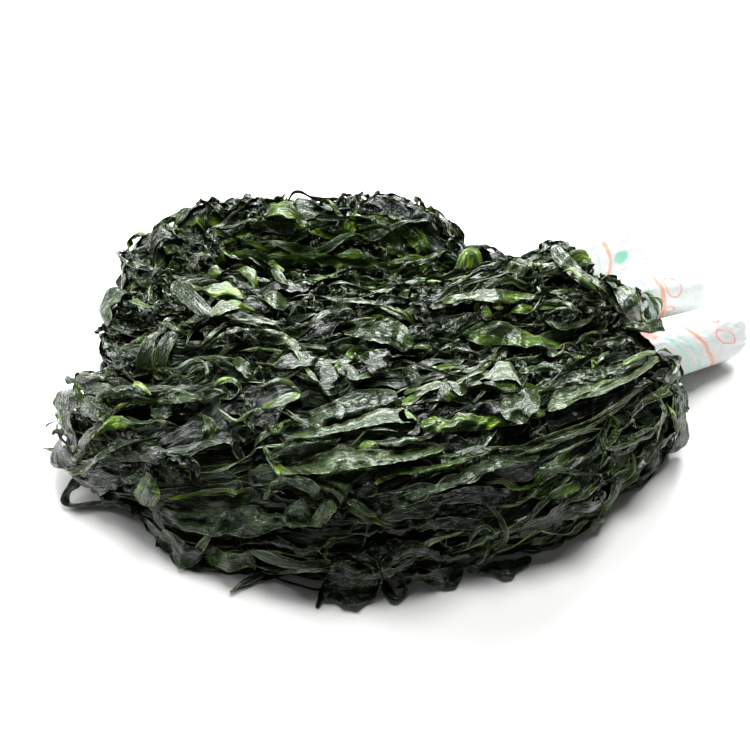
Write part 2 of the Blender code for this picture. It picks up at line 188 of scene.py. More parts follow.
# For each hank: how many fronds, and the share of each of those kinds.
FRONDS = {
    "front": (190, (0.18, 0.42, 0.30, 0.10)),
    "middle": (165, (0.08, 0.36, 0.46, 0.10)),
    "rear": (190, (0.12, 0.44, 0.34, 0.10)),
    "bed": (16, (0.10, 0.40, 0.45, 0.05)),
}
FULL = -2.2  # how high its fronds may lie, from a hank's surface, before no more are laid there
COARSE_SHARE = 0.3  # of the fronds on each hank, the first ones, which later ones cover
COARSE = 1.9  # times the steps of the mesh
LOOSE_SHARE = 0.35  # of the fronds on each hank, the last ones, which arch off the others
LOOSE_HALF = 5.5
LOOSE_RISE = 6.0
LOOSE_FULL = 1.5  # how much higher than the others a loose frond may lie
SHORTEST = 18.0
TRIES = 16  # places tried for each frond
TONE_SPREAD = (1.6, 2.4)
THICK = 0.03  # how thin and bright a thick leaf is
HIDDEN_SCORE = 6.0  # how high a frond counts as lying where another hank hides it
START_RANGE = (-0.15, 1.0)  # where along a hank a frond may start, and how far round it
SHARE_RANGE = (0.04, 0.96)
SPREAD = 11.0  # the most that a frond which reaches the floor goes out over it, at the middle of the front
SPREAD_MIDDLE = 20.0  # X of that middle, and how far it goes to each side
SPREAD_SPAN = 60.0
SPREAD_EDGE = -50.0  # Y, in front of which fronds spread
FOOT_SHARE = 0.485  # from a hank's top round it to where a frond reaches the floor
LEAF_FILL = (0.4, 0.3, 1.5)  # what a leaf adds to the height there: a share of its own, more, and the most
ROOT_STRANDS = 16  # out of each wrap
ROOT_HALF = (2.0, 5.0)
ROOT_REACH = (30, 75)
ROOT_PLAYED_DOWN = 0.4  # times how thin and bright another leaf would be
CURLS = {"front": 190, "middle": 290, "rear": 280, "bed": 10}
CURL_STEP = 0.9
CURL_REACH = (2.5, 6.0)  # from one of its places to the next
CURL_TURN = (0.5, 1.6)  # there, in radians
CURL_LIFT = (2.0, 4.5)  # at its middle
CURL_HALF = (1.6, 4.2)
CURL_TILT = 1.3
THREADS = {"front": 130, "middle": 90, "rear": 70, "bed": 0}
THREAD_LENGTH = (25, 90)
THREAD_HALF = (0.9, 2.2)
THREAD_RISE = 5.0
THREAD_MESS = 0.35
THREAD_TILT = 1.2
THREAD_PALER = 0.2

# Fronds that the photo shows: kind, half the flat width, tone, how thin and bright, how far it is turned up
# on edge in radians, and the photo's pixels along it with how far it is lifted off the others there.
SEEN = (
    ("smooth", 7, 1.00, 0.70, -0.90, ((630, 320, 0), (644, 305, 6), (651, 315, 7), (656, 330, 1))),
    ("smooth", 4, 0.90, 1.00, -0.30, ((560, 271, 1), (573, 268, 6), (588, 282, 5), (602, 297, 1))),
    ("smooth", 5, 0.90, 0.95, -0.50, ((545, 259, 0), (553, 245, 5), (563, 257, 1))),
    ("smooth", 9, 0.90, 0.10, -0.20, ((284, 216, 0), (300, 201, 5), (318, 200, 5), (333, 213, 0))),
    ("smooth", 5, 0.90, 0.95, -0.50, ((187, 227, 1), (198, 213, 4), (207, 224, 1))),
    ("smooth", 4, 0.90, 0.90, -0.30, ((262, 222, 2), (285, 222, 4), (306, 233, 1))),
    ("smooth", 4, 0.90, 0.85, -0.30, ((311, 207, 1), (326, 210, 3), (342, 216, 1))),
    ("stalk", 2.6, 0.90, 0.10, 0.0,
     ((262, 240, 2), (295, 248, 4), (320, 250, 4), (348, 237, 5), (378, 239, 1))),
    ("stalk", 2.4, 0.90, 0.10, 0.0,
     ((268, 288, 2), (300, 292, 4), (320, 290, 4), (360, 276, 4), (384, 270, 1))),
    ("stalk", 2.8, 0.70, 0.10, 0.0,
     ((176, 374, 1), (184, 346, 4), (204, 332, 5), (240, 329, 5), (312, 353, 0))),
    ("stalk", 2.8, 0.70, 0.05, 0.0, ((168, 394, 1), (175, 363, 4), (191, 334, 2))),
    ("stalk", 2.4, 0.60, 0.05, 0.0, ((160, 390, 1), (166, 353, 4), (181, 322, 2))),
    ("broad", 10, 0.90, 0.05, -0.30, ((104, 334, 1), (112, 313, 3), (123, 300, 4), (135, 288, 1))),
    ("smooth", 6, 0.90, 0.55, -0.20, ((396, 273, 1), (415, 266, 3), (442, 269, 1))),
    ("smooth", 5, 0.90, 0.90, -0.30, ((460, 279, 1), (471, 269, 4), (484, 276, 1))),
    ("stalk", 1.6, 0.50, 0.00, 0.0, ((388, 217, 1), (393, 208, 5), (396, 203, 9))),
    ("stalk", 1.6, 0.50, 0.00, 0.0, ((618, 290, 1), (622, 283, 6), (624, 279, 10))),
)
# The same on the floor, with the height of each place.
FLOOR_LEAVES = (
    ("strap", 5, 0.60, 0.05,
     ((150, 524, 9), (170, 546, 3), (190, 560, 2), (240, 564, 2), (310, 560, 2), (348, 556, 4))),
    ("stalk", 2.2, 0.50, 0.00,
     ((94, 458, 16), (80, 478, 8), (67, 494, 3), (69, 505, 2), (102, 503, 3), (133, 514, 9))),
    ("stalk", 1.8, 0.90, 0.50, ((42, 448, 3), (54, 449, 4), (70, 448, 8))),
    ("stalk", 2.0, 0.40, 0.00, ((275, 571, 4), (257, 577, 2), (243, 584, 2), (230, 592, 2))),
    ("stalk", 2.8, 0.40, 0.00, ((260, 578, 2), (285, 573, 3), (312, 572, 3), (344, 565, 5))),
    ("strap", 4.5, 0.50, 0.00, ((350, 562, 8), (334, 578, 3), (324, 593, 2), (317, 608, 1))),
    ("strap", 4.0, 0.60, 0.05, ((366, 566, 8), (383, 583, 3), (395, 599, 2), (406, 591, 3), (402, 577, 6))),
)
WANDER = 7.0  # how far a frond strays from a straight line
# Leaves traced along their visible edges: tone, how thin and bright, how far it is lifted off the others in
# steps along it, how much nearer its upper edge is than its lower one, how far its middle bulges, how deep
# its pleats are, and the photo's pixels along its upper and its lower edge, both from the same end. Where
# the last value is a number, it is the leaf's width in pixels, and the pixels before it run along its
# middle. A tone under 0 paints the shade of a recess: a nearly black sheet with almost no gloss.
# A tone over 1 paints a leaf's sheen into its colour: a paler grey green than any leaf's own.
TRACED = (
    # The front's foot.
    (0.55, 0.05, (0, 1, 0), -1, 1, 0.5,
     ((396, 582), (410, 573), (425, 575), (435, 570), (450, 567), (463, 564)),
     ((398, 584), (410, 580), (430, 584), (445, 588), (457, 586), (464, 575))),
    (0.5, 0.05, (0, 1, 0), -1, 1, 0.5,
     ((470, 560), (480, 566), (490, 562), (505, 560), (520, 558), (532, 553)),
     ((465, 574), (482, 573), (500, 577), (513, 578), (518, 571), (531, 566))),
    (0.6, 0.1, (0, 1, 1, 0), -1, 1, 0.6,
     ((161, 528), (170, 532), (180, 538), (187, 545), (197, 548), (204, 550)),
     ((158, 540), (167, 547), (172, 556), (179, 568), (190, 567), (204, 558))),
    (0.7, 0.25, (0, 1, 1, 0), -1, 1, 0.6,
     ((206, 549), (215, 547), (224, 551), (240, 554), (247, 551), (256, 560)),
     ((204, 560), (212, 566), (226, 571), (237, 571), (250, 567), (258, 574))),
    (0.4, 0, (1, 1, 0), 0, 1, 0.3,
     ((264, 573), (252, 578), (240, 584), (229, 593)),
     ((262, 577), (250, 584), (240, 587), (230, 594))),
    (0.35, 0, (0, 1, 1, 0), 0, 0.6, 0.3,
     ((262, 573), (278, 573), (300, 571), (330, 570)),
     3.5),
    (0.65, 0.05, (0, 1, 1, 0), -1, 1, 0.8,
     ((380, 562), (390, 553), (400, 546), (412, 541), (422, 543), (432, 549), (442, 555)),
     ((382, 573), (392, 566), (402, 560), (412, 556), (422, 557), (432, 560), (442, 562))),
    (0.5, 0.05, (0, 2, 2, 0), -1, 1, 1.1,
     ((328, 562), (340, 560), (355, 562), (370, 566), (382, 572)),
     ((319, 607), (332, 600), (345, 606), (360, 604), (375, 598), (384, 584))),
    # Left end.
    (0.5, 0.05, (1, 2, 1), -2, 1, 0.8,
     ((64, 372), (70, 377), (80, 377), (90, 375), (100, 370), (112, 366)),
     ((66, 388), (74, 383), (85, 384), (95, 381), (105, 380), (114, 376))),
    (0.6, 0.1, (0, 2, 2, 0), -2, 1, 0.8,
     ((63, 388), (56, 394), (53, 402), (56, 410), (59, 420), (64, 430), (69, 440), (70, 452)),
     ((76, 388), (76, 396), (78, 405), (72, 412), (70, 420), (73, 430), (77, 440), (76, 452))),
    (0.9, 0.4, (2, 3, 2), 0, 1, 0.4,
     ((64, 396), (70, 394), (77, 398)),
     8),
    (0.9, 0.9, (2, 3, 2), 0, 0.5, 0.2,
     ((58, 410), (59, 417), (62, 424)),
     5),
    (0.9, 0.05, (0, 2, 2, 0), -3, 1, 0.8,
     ((80, 402), (88, 396), (97, 398), (105, 404), (110, 411)),
     ((79, 415), (88, 417), (95, 421), (103, 420), (108, 414))),
    (1, 0.05, (0, 2, 2, 0), -3, 1, 1,
     ((84, 392), (90, 386), (97, 383), (104, 383), (112, 386), (118, 390)),
     ((88, 394), (96, 394), (104, 393), (112, 392), (119, 392))),
    (0.9, 0.1, (0, 2, 2, 0), -2, 1, 0.6,
     ((94, 396), (105, 392), (120, 391), (130, 389), (140, 394), (152, 398)),
     ((98, 402), (110, 399), (125, 398), (140, 398), (152, 400))),
    # Painted shade: a near-black sheet laid where a recess lies in shadow.
    (-0.4, 0, (-1, -1, -1), 3, -1, 0.2,
     ((104, 431), (112, 430), (122, 429), (132, 428), (140, 434)),
     ((108, 438), (116, 442), (126, 442), (134, 441), (141, 438))),
    (0.9, 0.1, (0, 2, 3, 1), -2, 1, 0.6,
     ((122, 417), (130, 416), (138, 420), (146, 421), (154, 417)),
     ((132, 427), (137, 428), (143, 427), (150, 424), (156, 420))),
    (0.95, 0.1, (0, 2, 4, 4, 1), -3, 1, 0.8,
     ((127, 401), (117, 406), (108, 413), (100, 418), (95, 424), (88, 430), (82, 436), (78, 443), (76, 452),
      (70, 460)),
     ((132, 404), (123, 409), (113, 415), (107, 421), (101, 428), (95, 434), (91, 440), (88, 446),
      (86, 453), (79, 463))),
    (0.9, 0.8, (1, 3, 1), 0, 1, 0.4,
     ((129, 402), (120, 406), (112, 411)),
     5),
    (0.95, 1, (1, 4, 4, 1), -1, 2, 0.3,
     ((95, 437), (98, 430), (103, 425), (108, 419), (114, 416), (120, 416), (126, 418), (132, 423)),
     ((98, 438), (102, 433), (107, 430), (114, 429), (121, 428), (127, 427), (133, 427))),
    (0.9, 0.8, (0, 3, 0), -1, 1, 0.3,
     ((131, 386), (136, 381), (142, 383), (148, 389), (152, 394)),
     ((134, 388), (139, 391), (144, 393), (148, 395), (151, 396))),
    (0.85, 0.05, (0, 2, 0), -2, 1, 0.6,
     ((150, 410), (160, 407), (170, 403), (174, 407)),
     ((151, 418), (160, 419), (168, 418), (174, 413))),
    (1, 0.1, (0, 2, 3, 0), -3, 1, 1.1,
     ((155, 398), (163, 392), (172, 391), (182, 390), (192, 393), (200, 397)),
     ((158, 404), (168, 404), (178, 403), (188, 402), (199, 400))),
    (0.95, 0.05, (1, 2, 1), 0, 0.5, 0.2,
     ((150, 420), (160, 421), (170, 423), (177, 425)),
     3),
    (0.35, 0, (0, 2, 0), -1, 1, 0.6,
     ((140, 450), (150, 447), (160, 447), (168, 452)),
     ((138, 460), (148, 462), (157, 464), (164, 459))),
    (0.9, 0.45, (0, 3, 3, 1), -2, 2, 0.5,
     ((131, 498), (137, 487), (143, 476), (148, 471)),
     ((152, 511), (160, 498), (158, 487), (150, 474))),
    (0.75, 0.05, (0, 2, 3, 2, 0), -4, 1, 0.6,
     ((160, 502), (175, 505), (190, 508), (206, 501), (220, 500), (235, 500), (250, 505), (262, 507),
      (275, 512), (285, 515)),
     ((160, 520), (170, 525), (185, 531), (200, 533), (215, 537), (228, 534), (245, 538), (262, 535),
      (275, 529), (285, 527))),
    # Left of the middle hank.
    (0.85, 0.05, (0, 2, 1), -1, 1, 0.8,
     ((176, 278), (186, 283), (196, 292), (205, 301), (214, 311)),
     ((168, 288), (178, 298), (188, 307), (198, 315), (207, 319))),
    (0.95, 0.1, (0, 2, 0), 0, 1, 0.5,
     ((158, 322), (170, 326), (180, 332), (190, 337)),
     5),
    (0.95, 1, (1, 4, 4, 0), -1, 2, 0.3,
     ((186, 280), (194, 285), (203, 287), (210, 285), (218, 283), (227, 282), (233, 286), (240, 291),
      (248, 299)),
     ((187, 283), (195, 290), (203, 290), (208, 294), (213, 297), (220, 298), (228, 299), (238, 300),
      (248, 301))),
    (0.9, 0.8, (0, 3, 4, 1), -1, 2, 0.4,
     ((209, 313), (214, 307), (220, 301), (228, 301), (238, 300), (246, 305), (254, 308)),
     ((211, 317), (218, 315), (226, 312), (235, 309), (243, 309), (250, 311), (256, 313))),
    (0.9, 0.9, (0, 3, 1), 0, 1, 0.3,
     ((238, 269), (246, 266), (253, 269), (257, 276), (258, 285)),
     ((237, 271), (243, 275), (249, 280), (252, 285), (254, 291))),
    (1, 0.55, (1, 3, 1), 0, 1.5, 0.2,
     ((207, 272), (211, 267), (217, 266), (222, 270)),
     ((209, 276), (213, 277), (218, 277), (221, 274))),
    (0.9, 0.4, (0, 3, 0), 0, 1, 0.2,
     ((198, 256), (206, 255), (212, 258), (216, 263)),
     4),
    (1, 0.05, (1, 3, 1), -4, 1, 0.4,
     ((263, 297), (270, 292), (278, 292), (285, 298), (289, 303)),
     ((265, 301), (272, 306), (280, 310), (286, 309), (289, 305))),
    (1, 0.05, (1, 3, 1), -2, 1, 0.4,
     ((271, 268), (275, 264), (279, 268), (284, 276), (289, 284)),
     ((271, 272), (274, 277), (278, 281), (284, 284), (289, 285))),
    (0.85, 0.05, (0, 3, 3, 0), 0, 0.6, 0.3,
     ((186, 345), (190, 334), (196, 325), (204, 319), (214, 316)),
     4),
    (0.85, 0.05, (0, 4, 4, 2, 0), 0, 0.6, 0.3,
     ((200, 347), (208, 338), (218, 329), (228, 323), (240, 321), (262, 321), (285, 324)),
     4),
    (0.8, 0.05, (0, 4, 4, 3, 0), 0, 0.6, 0.3,
     ((204, 350), (214, 341), (224, 334), (234, 331), (250, 330), (275, 333), (290, 338)),
     3.5),
    # Behind, on the right.
    (0.95, 0.05, (0, 2, 2, 0), -3, 1, 0.6,
     ((434, 309), (445, 305), (456, 303), (465, 300)),
     5),
    (0.95, 0.35, (0, 3, 4, 3, 0), -2, 2, 0.5,
     ((440, 300), (450, 296), (460, 294), (470, 293), (476, 290), (490, 289), (505, 290), (520, 292),
      (535, 295), (541, 297)),
     ((445, 305), (456, 303), (464, 301), (475, 300), (485, 301), (500, 303), (515, 303), (528, 301),
      (540, 299))),
    (0.9, 0.2, (1, 3, 2, 0), 0, 1, 0.2,
     ((541, 297), (538, 303), (534, 310), (526, 314), (516, 313)),
     3),
    (0.9, 1, (1, 3, 1), 0, 1, 0.2,
     ((492, 304), (497, 303), (503, 305)),
     ((492, 308), (498, 310), (504, 308))),
    (0.9, 0.65, (0, 2, 0), -1, 1, 0.3,
     ((512, 309), (518, 305), (526, 304), (532, 306)),
     ((510, 313), (518, 313), (526, 312), (532, 309))),
    (0.9, 0.8, (0, 3, 1), 0, 1, 0.3,
     ((480, 312), (484, 307), (489, 308), (492, 314)),
     ((481, 317), (485, 320), (490, 320), (493, 318))),
    (0.9, 0.05, (1, 3, 1), 0, 1, 0.3,
     ((548, 314), (556, 310), (565, 309), (574, 313), (580, 318)),
     4),
    (0.9, 0.05, (1, 3, 1), -1, 1, 0.3,
     ((556, 300), (566, 303), (574, 308), (582, 313)),
     5),
    (1, 0.1, (0, 3, 4, 2, 0), -3, 1, 0.4,
     ((545, 318), (552, 321), (560, 323), (570, 323), (580, 321), (588, 317), (598, 308)),
     ((546, 323), (555, 328), (565, 330), (576, 328), (587, 323), (598, 315), (602, 310))),
    (0.95, 0.3, (0, 3, 4, 3, 1), -2, 2.5, 0.5,
     ((463, 331), (470, 328), (477, 324), (485, 322), (495, 321), (505, 322), (515, 326), (525, 331),
      (535, 335), (545, 338), (555, 341), (563, 344)),
     ((463, 336), (470, 341), (480, 344), (490, 345), (500, 345), (510, 345), (525, 347), (540, 348),
      (552, 350), (562, 348))),
    (0.9, 0.1, (1, 2, 0), 0, 1, 0.3,
     ((564, 344), (563, 350), (558, 355), (548, 358)),
     4),
    (1, 0.05, (1, 2, 1), -4, 0.5, 0.3,
     ((544, 350), (549, 348), (554, 348), (557, 351)),
     ((547, 355), (550, 357), (554, 356), (557, 354))),
    (0.9, 0.3, (0, 3, 3, 0), 0, 1, 0.3,
     ((575, 345), (582, 338), (590, 334), (598, 334), (601, 341)),
     5),
    (0.85, 0.1, (0, 2, 0), 0, 1, 0.3,
     ((558, 347), (566, 344), (574, 346), (580, 350)),
     4),
    (0.95, 0.05, (0, 2, 2, 0), -2, 1, 0.9,
     ((518, 369), (526, 367), (536, 365), (545, 362), (556, 364), (566, 366)),
     ((519, 373), (530, 373), (540, 371), (550, 369), (566, 370))),
    (0.95, 0.1, (0, 3, 0), -2, 1, 0.6,
     ((596, 366), (600, 360), (604, 354), (609, 352)),
     6),
    (0.5, 0.05, (0, 2, 0), 0, 1, 0.4,
     ((446, 352), (458, 349), (470, 352), (482, 354)),
     4),
    (0.5, 0.05, (0, 2, 0), 0, 1, 0.4,
     ((450, 372), (465, 371), (480, 367), (492, 362)),
     4),
    (0.6, 0.05, (0, 2, 0), 0, 1, 0.4,
     ((500, 361), (515, 359), (530, 358), (542, 354)),
     3),
    # The crumples between the hanks.
    (0.75, 0.25, (0, 3, 3, 0), 0, 1, 0.9,
     ((257, 330), (269, 329), (283, 333), (297, 341), (308, 351)),
     ((261, 341), (275, 344), (288, 345), (299, 350), (307, 352))),
    (0.95, 0.5, (0, 3, 3, 0), 0, 0.6, 0.3,
     ((239, 351), (255, 349), (272, 350), (286, 352)),
     3.5),
    (0.4, 0.05, (0, 3, 3, 0), 2, 1, 1.2,
     ((273, 366), (283, 356), (297, 352), (313, 352), (319, 356)),
     ((277, 372), (288, 369), (302, 366), (313, 365), (318, 361))),
    (1, 0.05, (1, 3, 1), -7, 0.5, 1.3,
     ((232, 358), (240, 357), (248, 362), (252, 369)),
     ((234, 366), (240, 372), (246, 377), (252, 378))),
    (0.25, 0.05, (1, 2, 1), 3, 1, 1.4,
     ((318, 374), (322, 366), (330, 364), (337, 370)),
     ((320, 390), (326, 395), (333, 395), (337, 386))),
    (1, 0.05, (1, 3, 1), -6, 0.5, 1.2,
     ((337, 366), (345, 362), (353, 367), (360, 374)),
     ((338, 372), (345, 376), (353, 380), (360, 379))),
    (0.9, 0.1, (0, 3, 4, 2), -5, 1, 0.7,
     ((341, 326), (360, 322), (376, 321), (393, 321), (404, 325), (411, 333), (415, 341)),
     ((343, 334), (360, 338), (371, 341), (387, 344), (398, 349), (404, 352), (413, 346))),
    (0.9, 0.8, (1, 4, 1), 0, 0.5, 0.2,
     ((340, 326), (352, 322), (364, 319), (377, 318)),
     3.5),
    (0.25, 0.05, (1, 2, 2, 1), 4, 1, 1.4,
     ((361, 352), (371, 351), (385, 349), (393, 355)),
     ((363, 363), (371, 373), (382, 376), (392, 366))),
    (0.95, 0.2, (1, 3, 1), 0, 0.8, 0.3,
     ((195, 362), (203, 362), (207, 370), (206, 380), (199, 383)),
     3.5),
    (0.9, 0.5, (1, 3, 3, 1), 0, 1, 0.5,
     ((211, 391), (220, 381), (233, 380), (240, 388), (236, 396)),
     5),
    (0.9, 0.3, (1, 3, 3, 1), 0, 1, 0.4,
     ((217, 407), (225, 415), (236, 421), (247, 415), (258, 410), (277, 406), (294, 400)),
     4),
    (0.95, 0.55, (1, 3, 3, 1), -2, 1, 0.5,
     ((261, 406), (275, 399), (288, 393), (299, 392)),
     ((264, 409), (277, 407), (291, 402), (301, 396))),
    (0.5, 0.05, (0, 2, 2, 0), -2, 1, 0.5,
     ((305, 413), (319, 407), (338, 399), (354, 391), (371, 389), (387, 389), (398, 392)),
     ((316, 421), (338, 418), (360, 414), (382, 406), (397, 399))),
    # The front hank's top.
    (0.8, 0.05, (0, 3, 2), -3, 1, 0.6,
     ((308, 420), (315, 414), (325, 410), (335, 406), (343, 402)),
     ((310, 426), (320, 426), (330, 423), (338, 420), (346, 416))),
    (0.1, 0, (0, 0, 0), 2, 0, 0.4,
     ((545, 416), (560, 410), (575, 404), (590, 400), (605, 396), (620, 390)),
     ((548, 428), (565, 424), (580, 418), (600, 411), (615, 404), (628, 396))),
    (0.8, 0.05, (0, 2, 3, 0), -2, 1, 0.9,
     ((552, 386), (558, 381), (566, 375), (575, 371), (590, 370), (605, 367), (620, 364), (632, 360),
      (645, 354)),
     ((556, 388), (566, 386), (578, 384), (592, 382), (606, 378), (620, 374), (633, 368), (646, 360))),
    (0.95, 0.7, (0, 2, 0), -1, 1, 0.3,
     ((622, 361), (635, 355), (645, 351), (656, 350)),
     ((622, 366), (635, 361), (646, 356), (656, 354))),
    # Tone over 1: painted sheen.
    (1.3, 0.1, (2, 6, 6, 4, 1), -10, 1, 0.35,
     ((551, 392), (553, 388), (560, 387), (575, 386), (590, 383), (605, 380), (620, 378), (630, 374),
      (640, 367), (650, 360), (657, 354)),
     ((545, 416), (555, 411), (570, 405), (580, 399), (600, 395), (615, 388), (630, 381), (645, 372),
      (660, 361))),
    (0.5, 0.25, (1, 2, 1), 2, 1, 0.5,
     ((468, 384), (478, 380), (487, 379), (500, 379), (510, 378), (520, 380)),
     ((468, 390), (480, 391), (495, 392), (510, 392), (524, 391))),
    # Tone over 1: painted sheen.
    (1.3, 0.1, (2, 6, 8, 7, 4), -9, 1, 0.3,
     ((470, 383), (480, 379), (487, 374), (493, 368), (497, 362), (505, 361), (510, 362), (514, 368),
      (518, 376), (521, 382)),
     ((472, 386), (482, 383), (492, 381), (500, 380), (508, 379), (514, 380), (518, 382), (522, 386))),
    (0.45, 0.2, (4, 2, 0), 0, 0, 0.5,
     ((441, 380), (439, 390), (437, 398), (440, 404)),
     ((447, 381), (453, 388), (459, 394), (463, 399))),
    (0.95, 0.05, (4, 3, 1), -3, 0, 0.3,
     ((446, 381), (455, 382), (466, 384), (470, 386)),
     ((447, 383), (452, 389), (458, 394), (464, 397))),
    (0.9, 0.15, (0, 3, 5), -2, 1, 0.4,
     ((402, 394), (408, 389), (420, 387), (430, 383), (440, 380)),
     ((406, 395), (415, 392), (428, 391), (438, 388), (442, 384))),
    (0.12, 0, (1, 2, 3), 2, 1, 0.5,
     ((463, 410), (475, 405), (490, 400), (499, 400)),
     ((466, 413), (478, 414), (490, 416), (505, 418))),
    (0.9, 0.95, (0, 2, 0), -1, 1, 0.3,
     ((530, 410), (536, 409), (545, 411)),
     ((530, 418), (538, 418), (546, 417))),
    (0.95, 0.05, (4, 7, 7, 3), -9, 1, 0.6,
     ((499, 399), (506, 397), (515, 394), (522, 390), (528, 388), (535, 389), (540, 390)),
     ((500, 416), (508, 420), (518, 423), (526, 423), (531, 414), (537, 411), (541, 402))),
    (0.95, 1, (0, 3, 3, 2, 0), -2, 1.5, 0.6,
     ((420, 423), (428, 418), (434, 416), (445, 420), (452, 419), (456, 414), (462, 413), (470, 413),
      (478, 416), (490, 416), (500, 417), (508, 420), (514, 424)),
     ((420, 429), (428, 430), (440, 431), (450, 431), (460, 431), (475, 431), (485, 430), (495, 428),
      (505, 426), (514, 425))),
    # Tone over 1: painted sheen.
    (1.1, 0.1, (0, 3, 5, 5, 2), -8, 1, 0.4,
     ((285, 436), (297, 432), (310, 427), (317, 424), (325, 427), (340, 423), (350, 420), (360, 416),
      (368, 413), (378, 409), (385, 408), (395, 409), (402, 408), (408, 411), (413, 415), (417, 420)),
     ((286, 441), (300, 438), (320, 436), (340, 432), (360, 428), (380, 424), (395, 422), (405, 423),
      (417, 421))),
    (0.9, 0.9, (3, 4, 3), 0, 1, 0.2,
     ((398, 410), (402, 408), (408, 411), (413, 415), (417, 420)),
     ((399, 420), (405, 422), (409, 422), (413, 422), (417, 421))),
    (0.9, 0.05, (0, 2, 0), -2, 1, 0.3,
     ((372, 441), (385, 440), (400, 438), (412, 437), (427, 436)),
     ((374, 443), (385, 446), (400, 446), (412, 443), (428, 439))),
    (0.9, 0.9, (1, 3, 1), 0, 1, 0.2,
     ((356, 449), (360, 444), (366, 441), (373, 441), (379, 446)),
     ((357, 451), (362, 451), (367, 451), (372, 450), (378, 449))),
    (0.9, 0.2, (0, 2, 2, 0), -3, 1, 0.5,
     ((268, 456), (275, 448), (285, 441), (290, 438), (305, 437), (325, 435), (340, 434)),
     ((270, 460), (285, 455), (300, 448), (315, 445), (330, 443), (342, 440))),
    (0.65, 0.05, (0, 2, 2, 0), -2, 1, 0.5,
     ((272, 456), (285, 448), (300, 443), (320, 441), (335, 441), (340, 445)),
     ((272, 461), (285, 463), (300, 462), (310, 458), (330, 452), (340, 447))),
    # The broad leaf and its fold.
    # Painted shade: a near-black sheet laid where a recess lies in shadow.
    (-0.4, 0, (0, 0, 0), 3, -1, 0.3,
     ((268, 497), (278, 491), (290, 489), (300, 496)),
     ((270, 505), (280, 507), (290, 506), (298, 502))),
    (0.8, 0.05, (0, 2, 0), -3, 1, 0.5,
     ((282, 512), (290, 505), (298, 500), (304, 500), (312, 514)),
     ((283, 525), (290, 527), (300, 527), (308, 526), (313, 522))),
    # Tone over 1: painted sheen.
    (1.2, 0.1, (1, 3, 4, 3), -4, 2, 0.5,
     ((309, 477), (318, 487), (322, 497), (320, 505), (315, 513), (310, 521)),
     ((341, 504), (338, 508), (333, 514), (328, 521), (320, 526), (312, 528))),
    # Tone over 1: painted sheen.
    (1.35, 0.1, (1, 4, 6, 5, 0), -9, 1, 0.35,
     ((280, 469), (290, 465), (300, 462), (310, 457), (318, 453), (330, 451), (341, 444), (355, 449),
      (370, 449), (400, 450), (425, 447), (445, 443)),
     ((280, 475), (300, 474), (320, 474), (335, 472), (350, 470), (372, 466), (395, 463), (420, 458),
      (430, 455), (445, 450))),
    # Tone over 1: painted sheen.
    (1.1, 0.1, (3, 5, 4), -3, 1.5, 0.4,
     ((400, 464), (385, 467), (372, 471), (360, 477), (352, 487), (346, 497), (342, 504)),
     ((309, 474), (315, 484), (325, 490), (333, 494), (338, 499), (341, 505))),
    (0.8, 0.05, (0, 3, 4, 3, 0), -1, 1.5, 0.5,
     ((262, 500), (268, 486), (276, 479), (288, 475), (300, 476), (312, 480), (320, 488), (322, 497)),
     ((266, 501), (272, 492), (280, 487), (290, 485), (300, 488), (308, 493), (314, 500), (316, 503))),
    # Right of it.
    (0.2, 0, (0, 1, 1, 0), 2, 0, 0.6,
     ((425, 497), (445, 494), (460, 488), (480, 486), (500, 488), (515, 490)),
     ((428, 502), (437, 506), (450, 503), (480, 503), (500, 502), (518, 496))),
    (0.35, 0.05, (0, 1, 1, 0), 0, 0, 0.7,
     ((415, 529), (430, 522), (440, 518), (460, 517), (485, 520)),
     ((418, 533), (430, 529), (445, 529), (465, 530), (485, 528))),
    (0.8, 0.05, (0, 4, 5, 4, 2), -6, 1, 0.8,
     ((380, 512), (395, 500), (410, 492), (430, 487), (450, 480), (462, 472), (475, 464), (482, 457),
      (495, 450), (510, 446), (530, 443)),
     ((385, 516), (400, 508), (420, 502), (430, 495), (445, 490), (458, 485), (475, 482), (485, 473),
      (500, 469), (515, 466), (530, 462), (545, 455))),
    (0.05, 0, (0, 1, 0), 2, 0, 0.4,
     ((490, 470), (505, 466), (520, 462), (540, 460)),
     ((495, 482), (510, 482), (530, 480), (540, 470))),
    (0.95, 0.4, (1, 2, 1), -1, 1, 0.4,
     ((485, 479), (500, 478), (512, 482), (520, 486)),
     ((485, 485), (500, 484), (510, 489), (520, 491))),
    (0.95, 0.45, (1, 3, 3, 1), -2, 1.5, 0.4,
     ((518, 488), (530, 483), (538, 475), (545, 467), (555, 458), (563, 453), (570, 452)),
     ((510, 489), (522, 491), (535, 486), (545, 481), (556, 475), (563, 467), (570, 458))),
    (0.95, 0.35, (0, 2, 3, 2, 0), -3, 1, 0.5,
     ((373, 479), (380, 473), (400, 469), (420, 467), (440, 464), (460, 458), (478, 457)),
     ((375, 487), (385, 481), (400, 475), (420, 473), (440, 470), (455, 466), (470, 461))),
    (0.9, 0.1, (0, 2, 0), -1, 1, 0.8,
     ((345, 499), (355, 500), (362, 504), (370, 508), (378, 511)),
     ((346, 504), (355, 507), (362, 512), (368, 516), (378, 517))),
    (0.8, 0.05, (1, 3, 3, 1), 0, 1, 0.3,
     ((478, 501), (484, 504), (490, 510), (497, 518), (501, 526), (503, 533), (499, 542), (491, 550),
      (488, 558)),
     ((484, 501), (490, 506), (500, 514), (506, 524), (509, 533), (507, 542), (497, 550), (492, 560))),
    (0.8, 0.05, (0, 3, 0), 0, 1, 0.3,
     ((466, 550), (469, 542), (473, 535), (479, 529), (486, 527), (493, 531), (498, 537)),
     4.5),
    (0.9, 0.45, (0, 2, 0), -1, 1, 0.4,
     ((545, 497), (555, 489), (566, 484), (578, 479)),
     ((556, 500), (565, 497), (574, 493), (582, 488))),
    (0.7, 0.1, (0, 2, 0), -1, 1, 0.4,
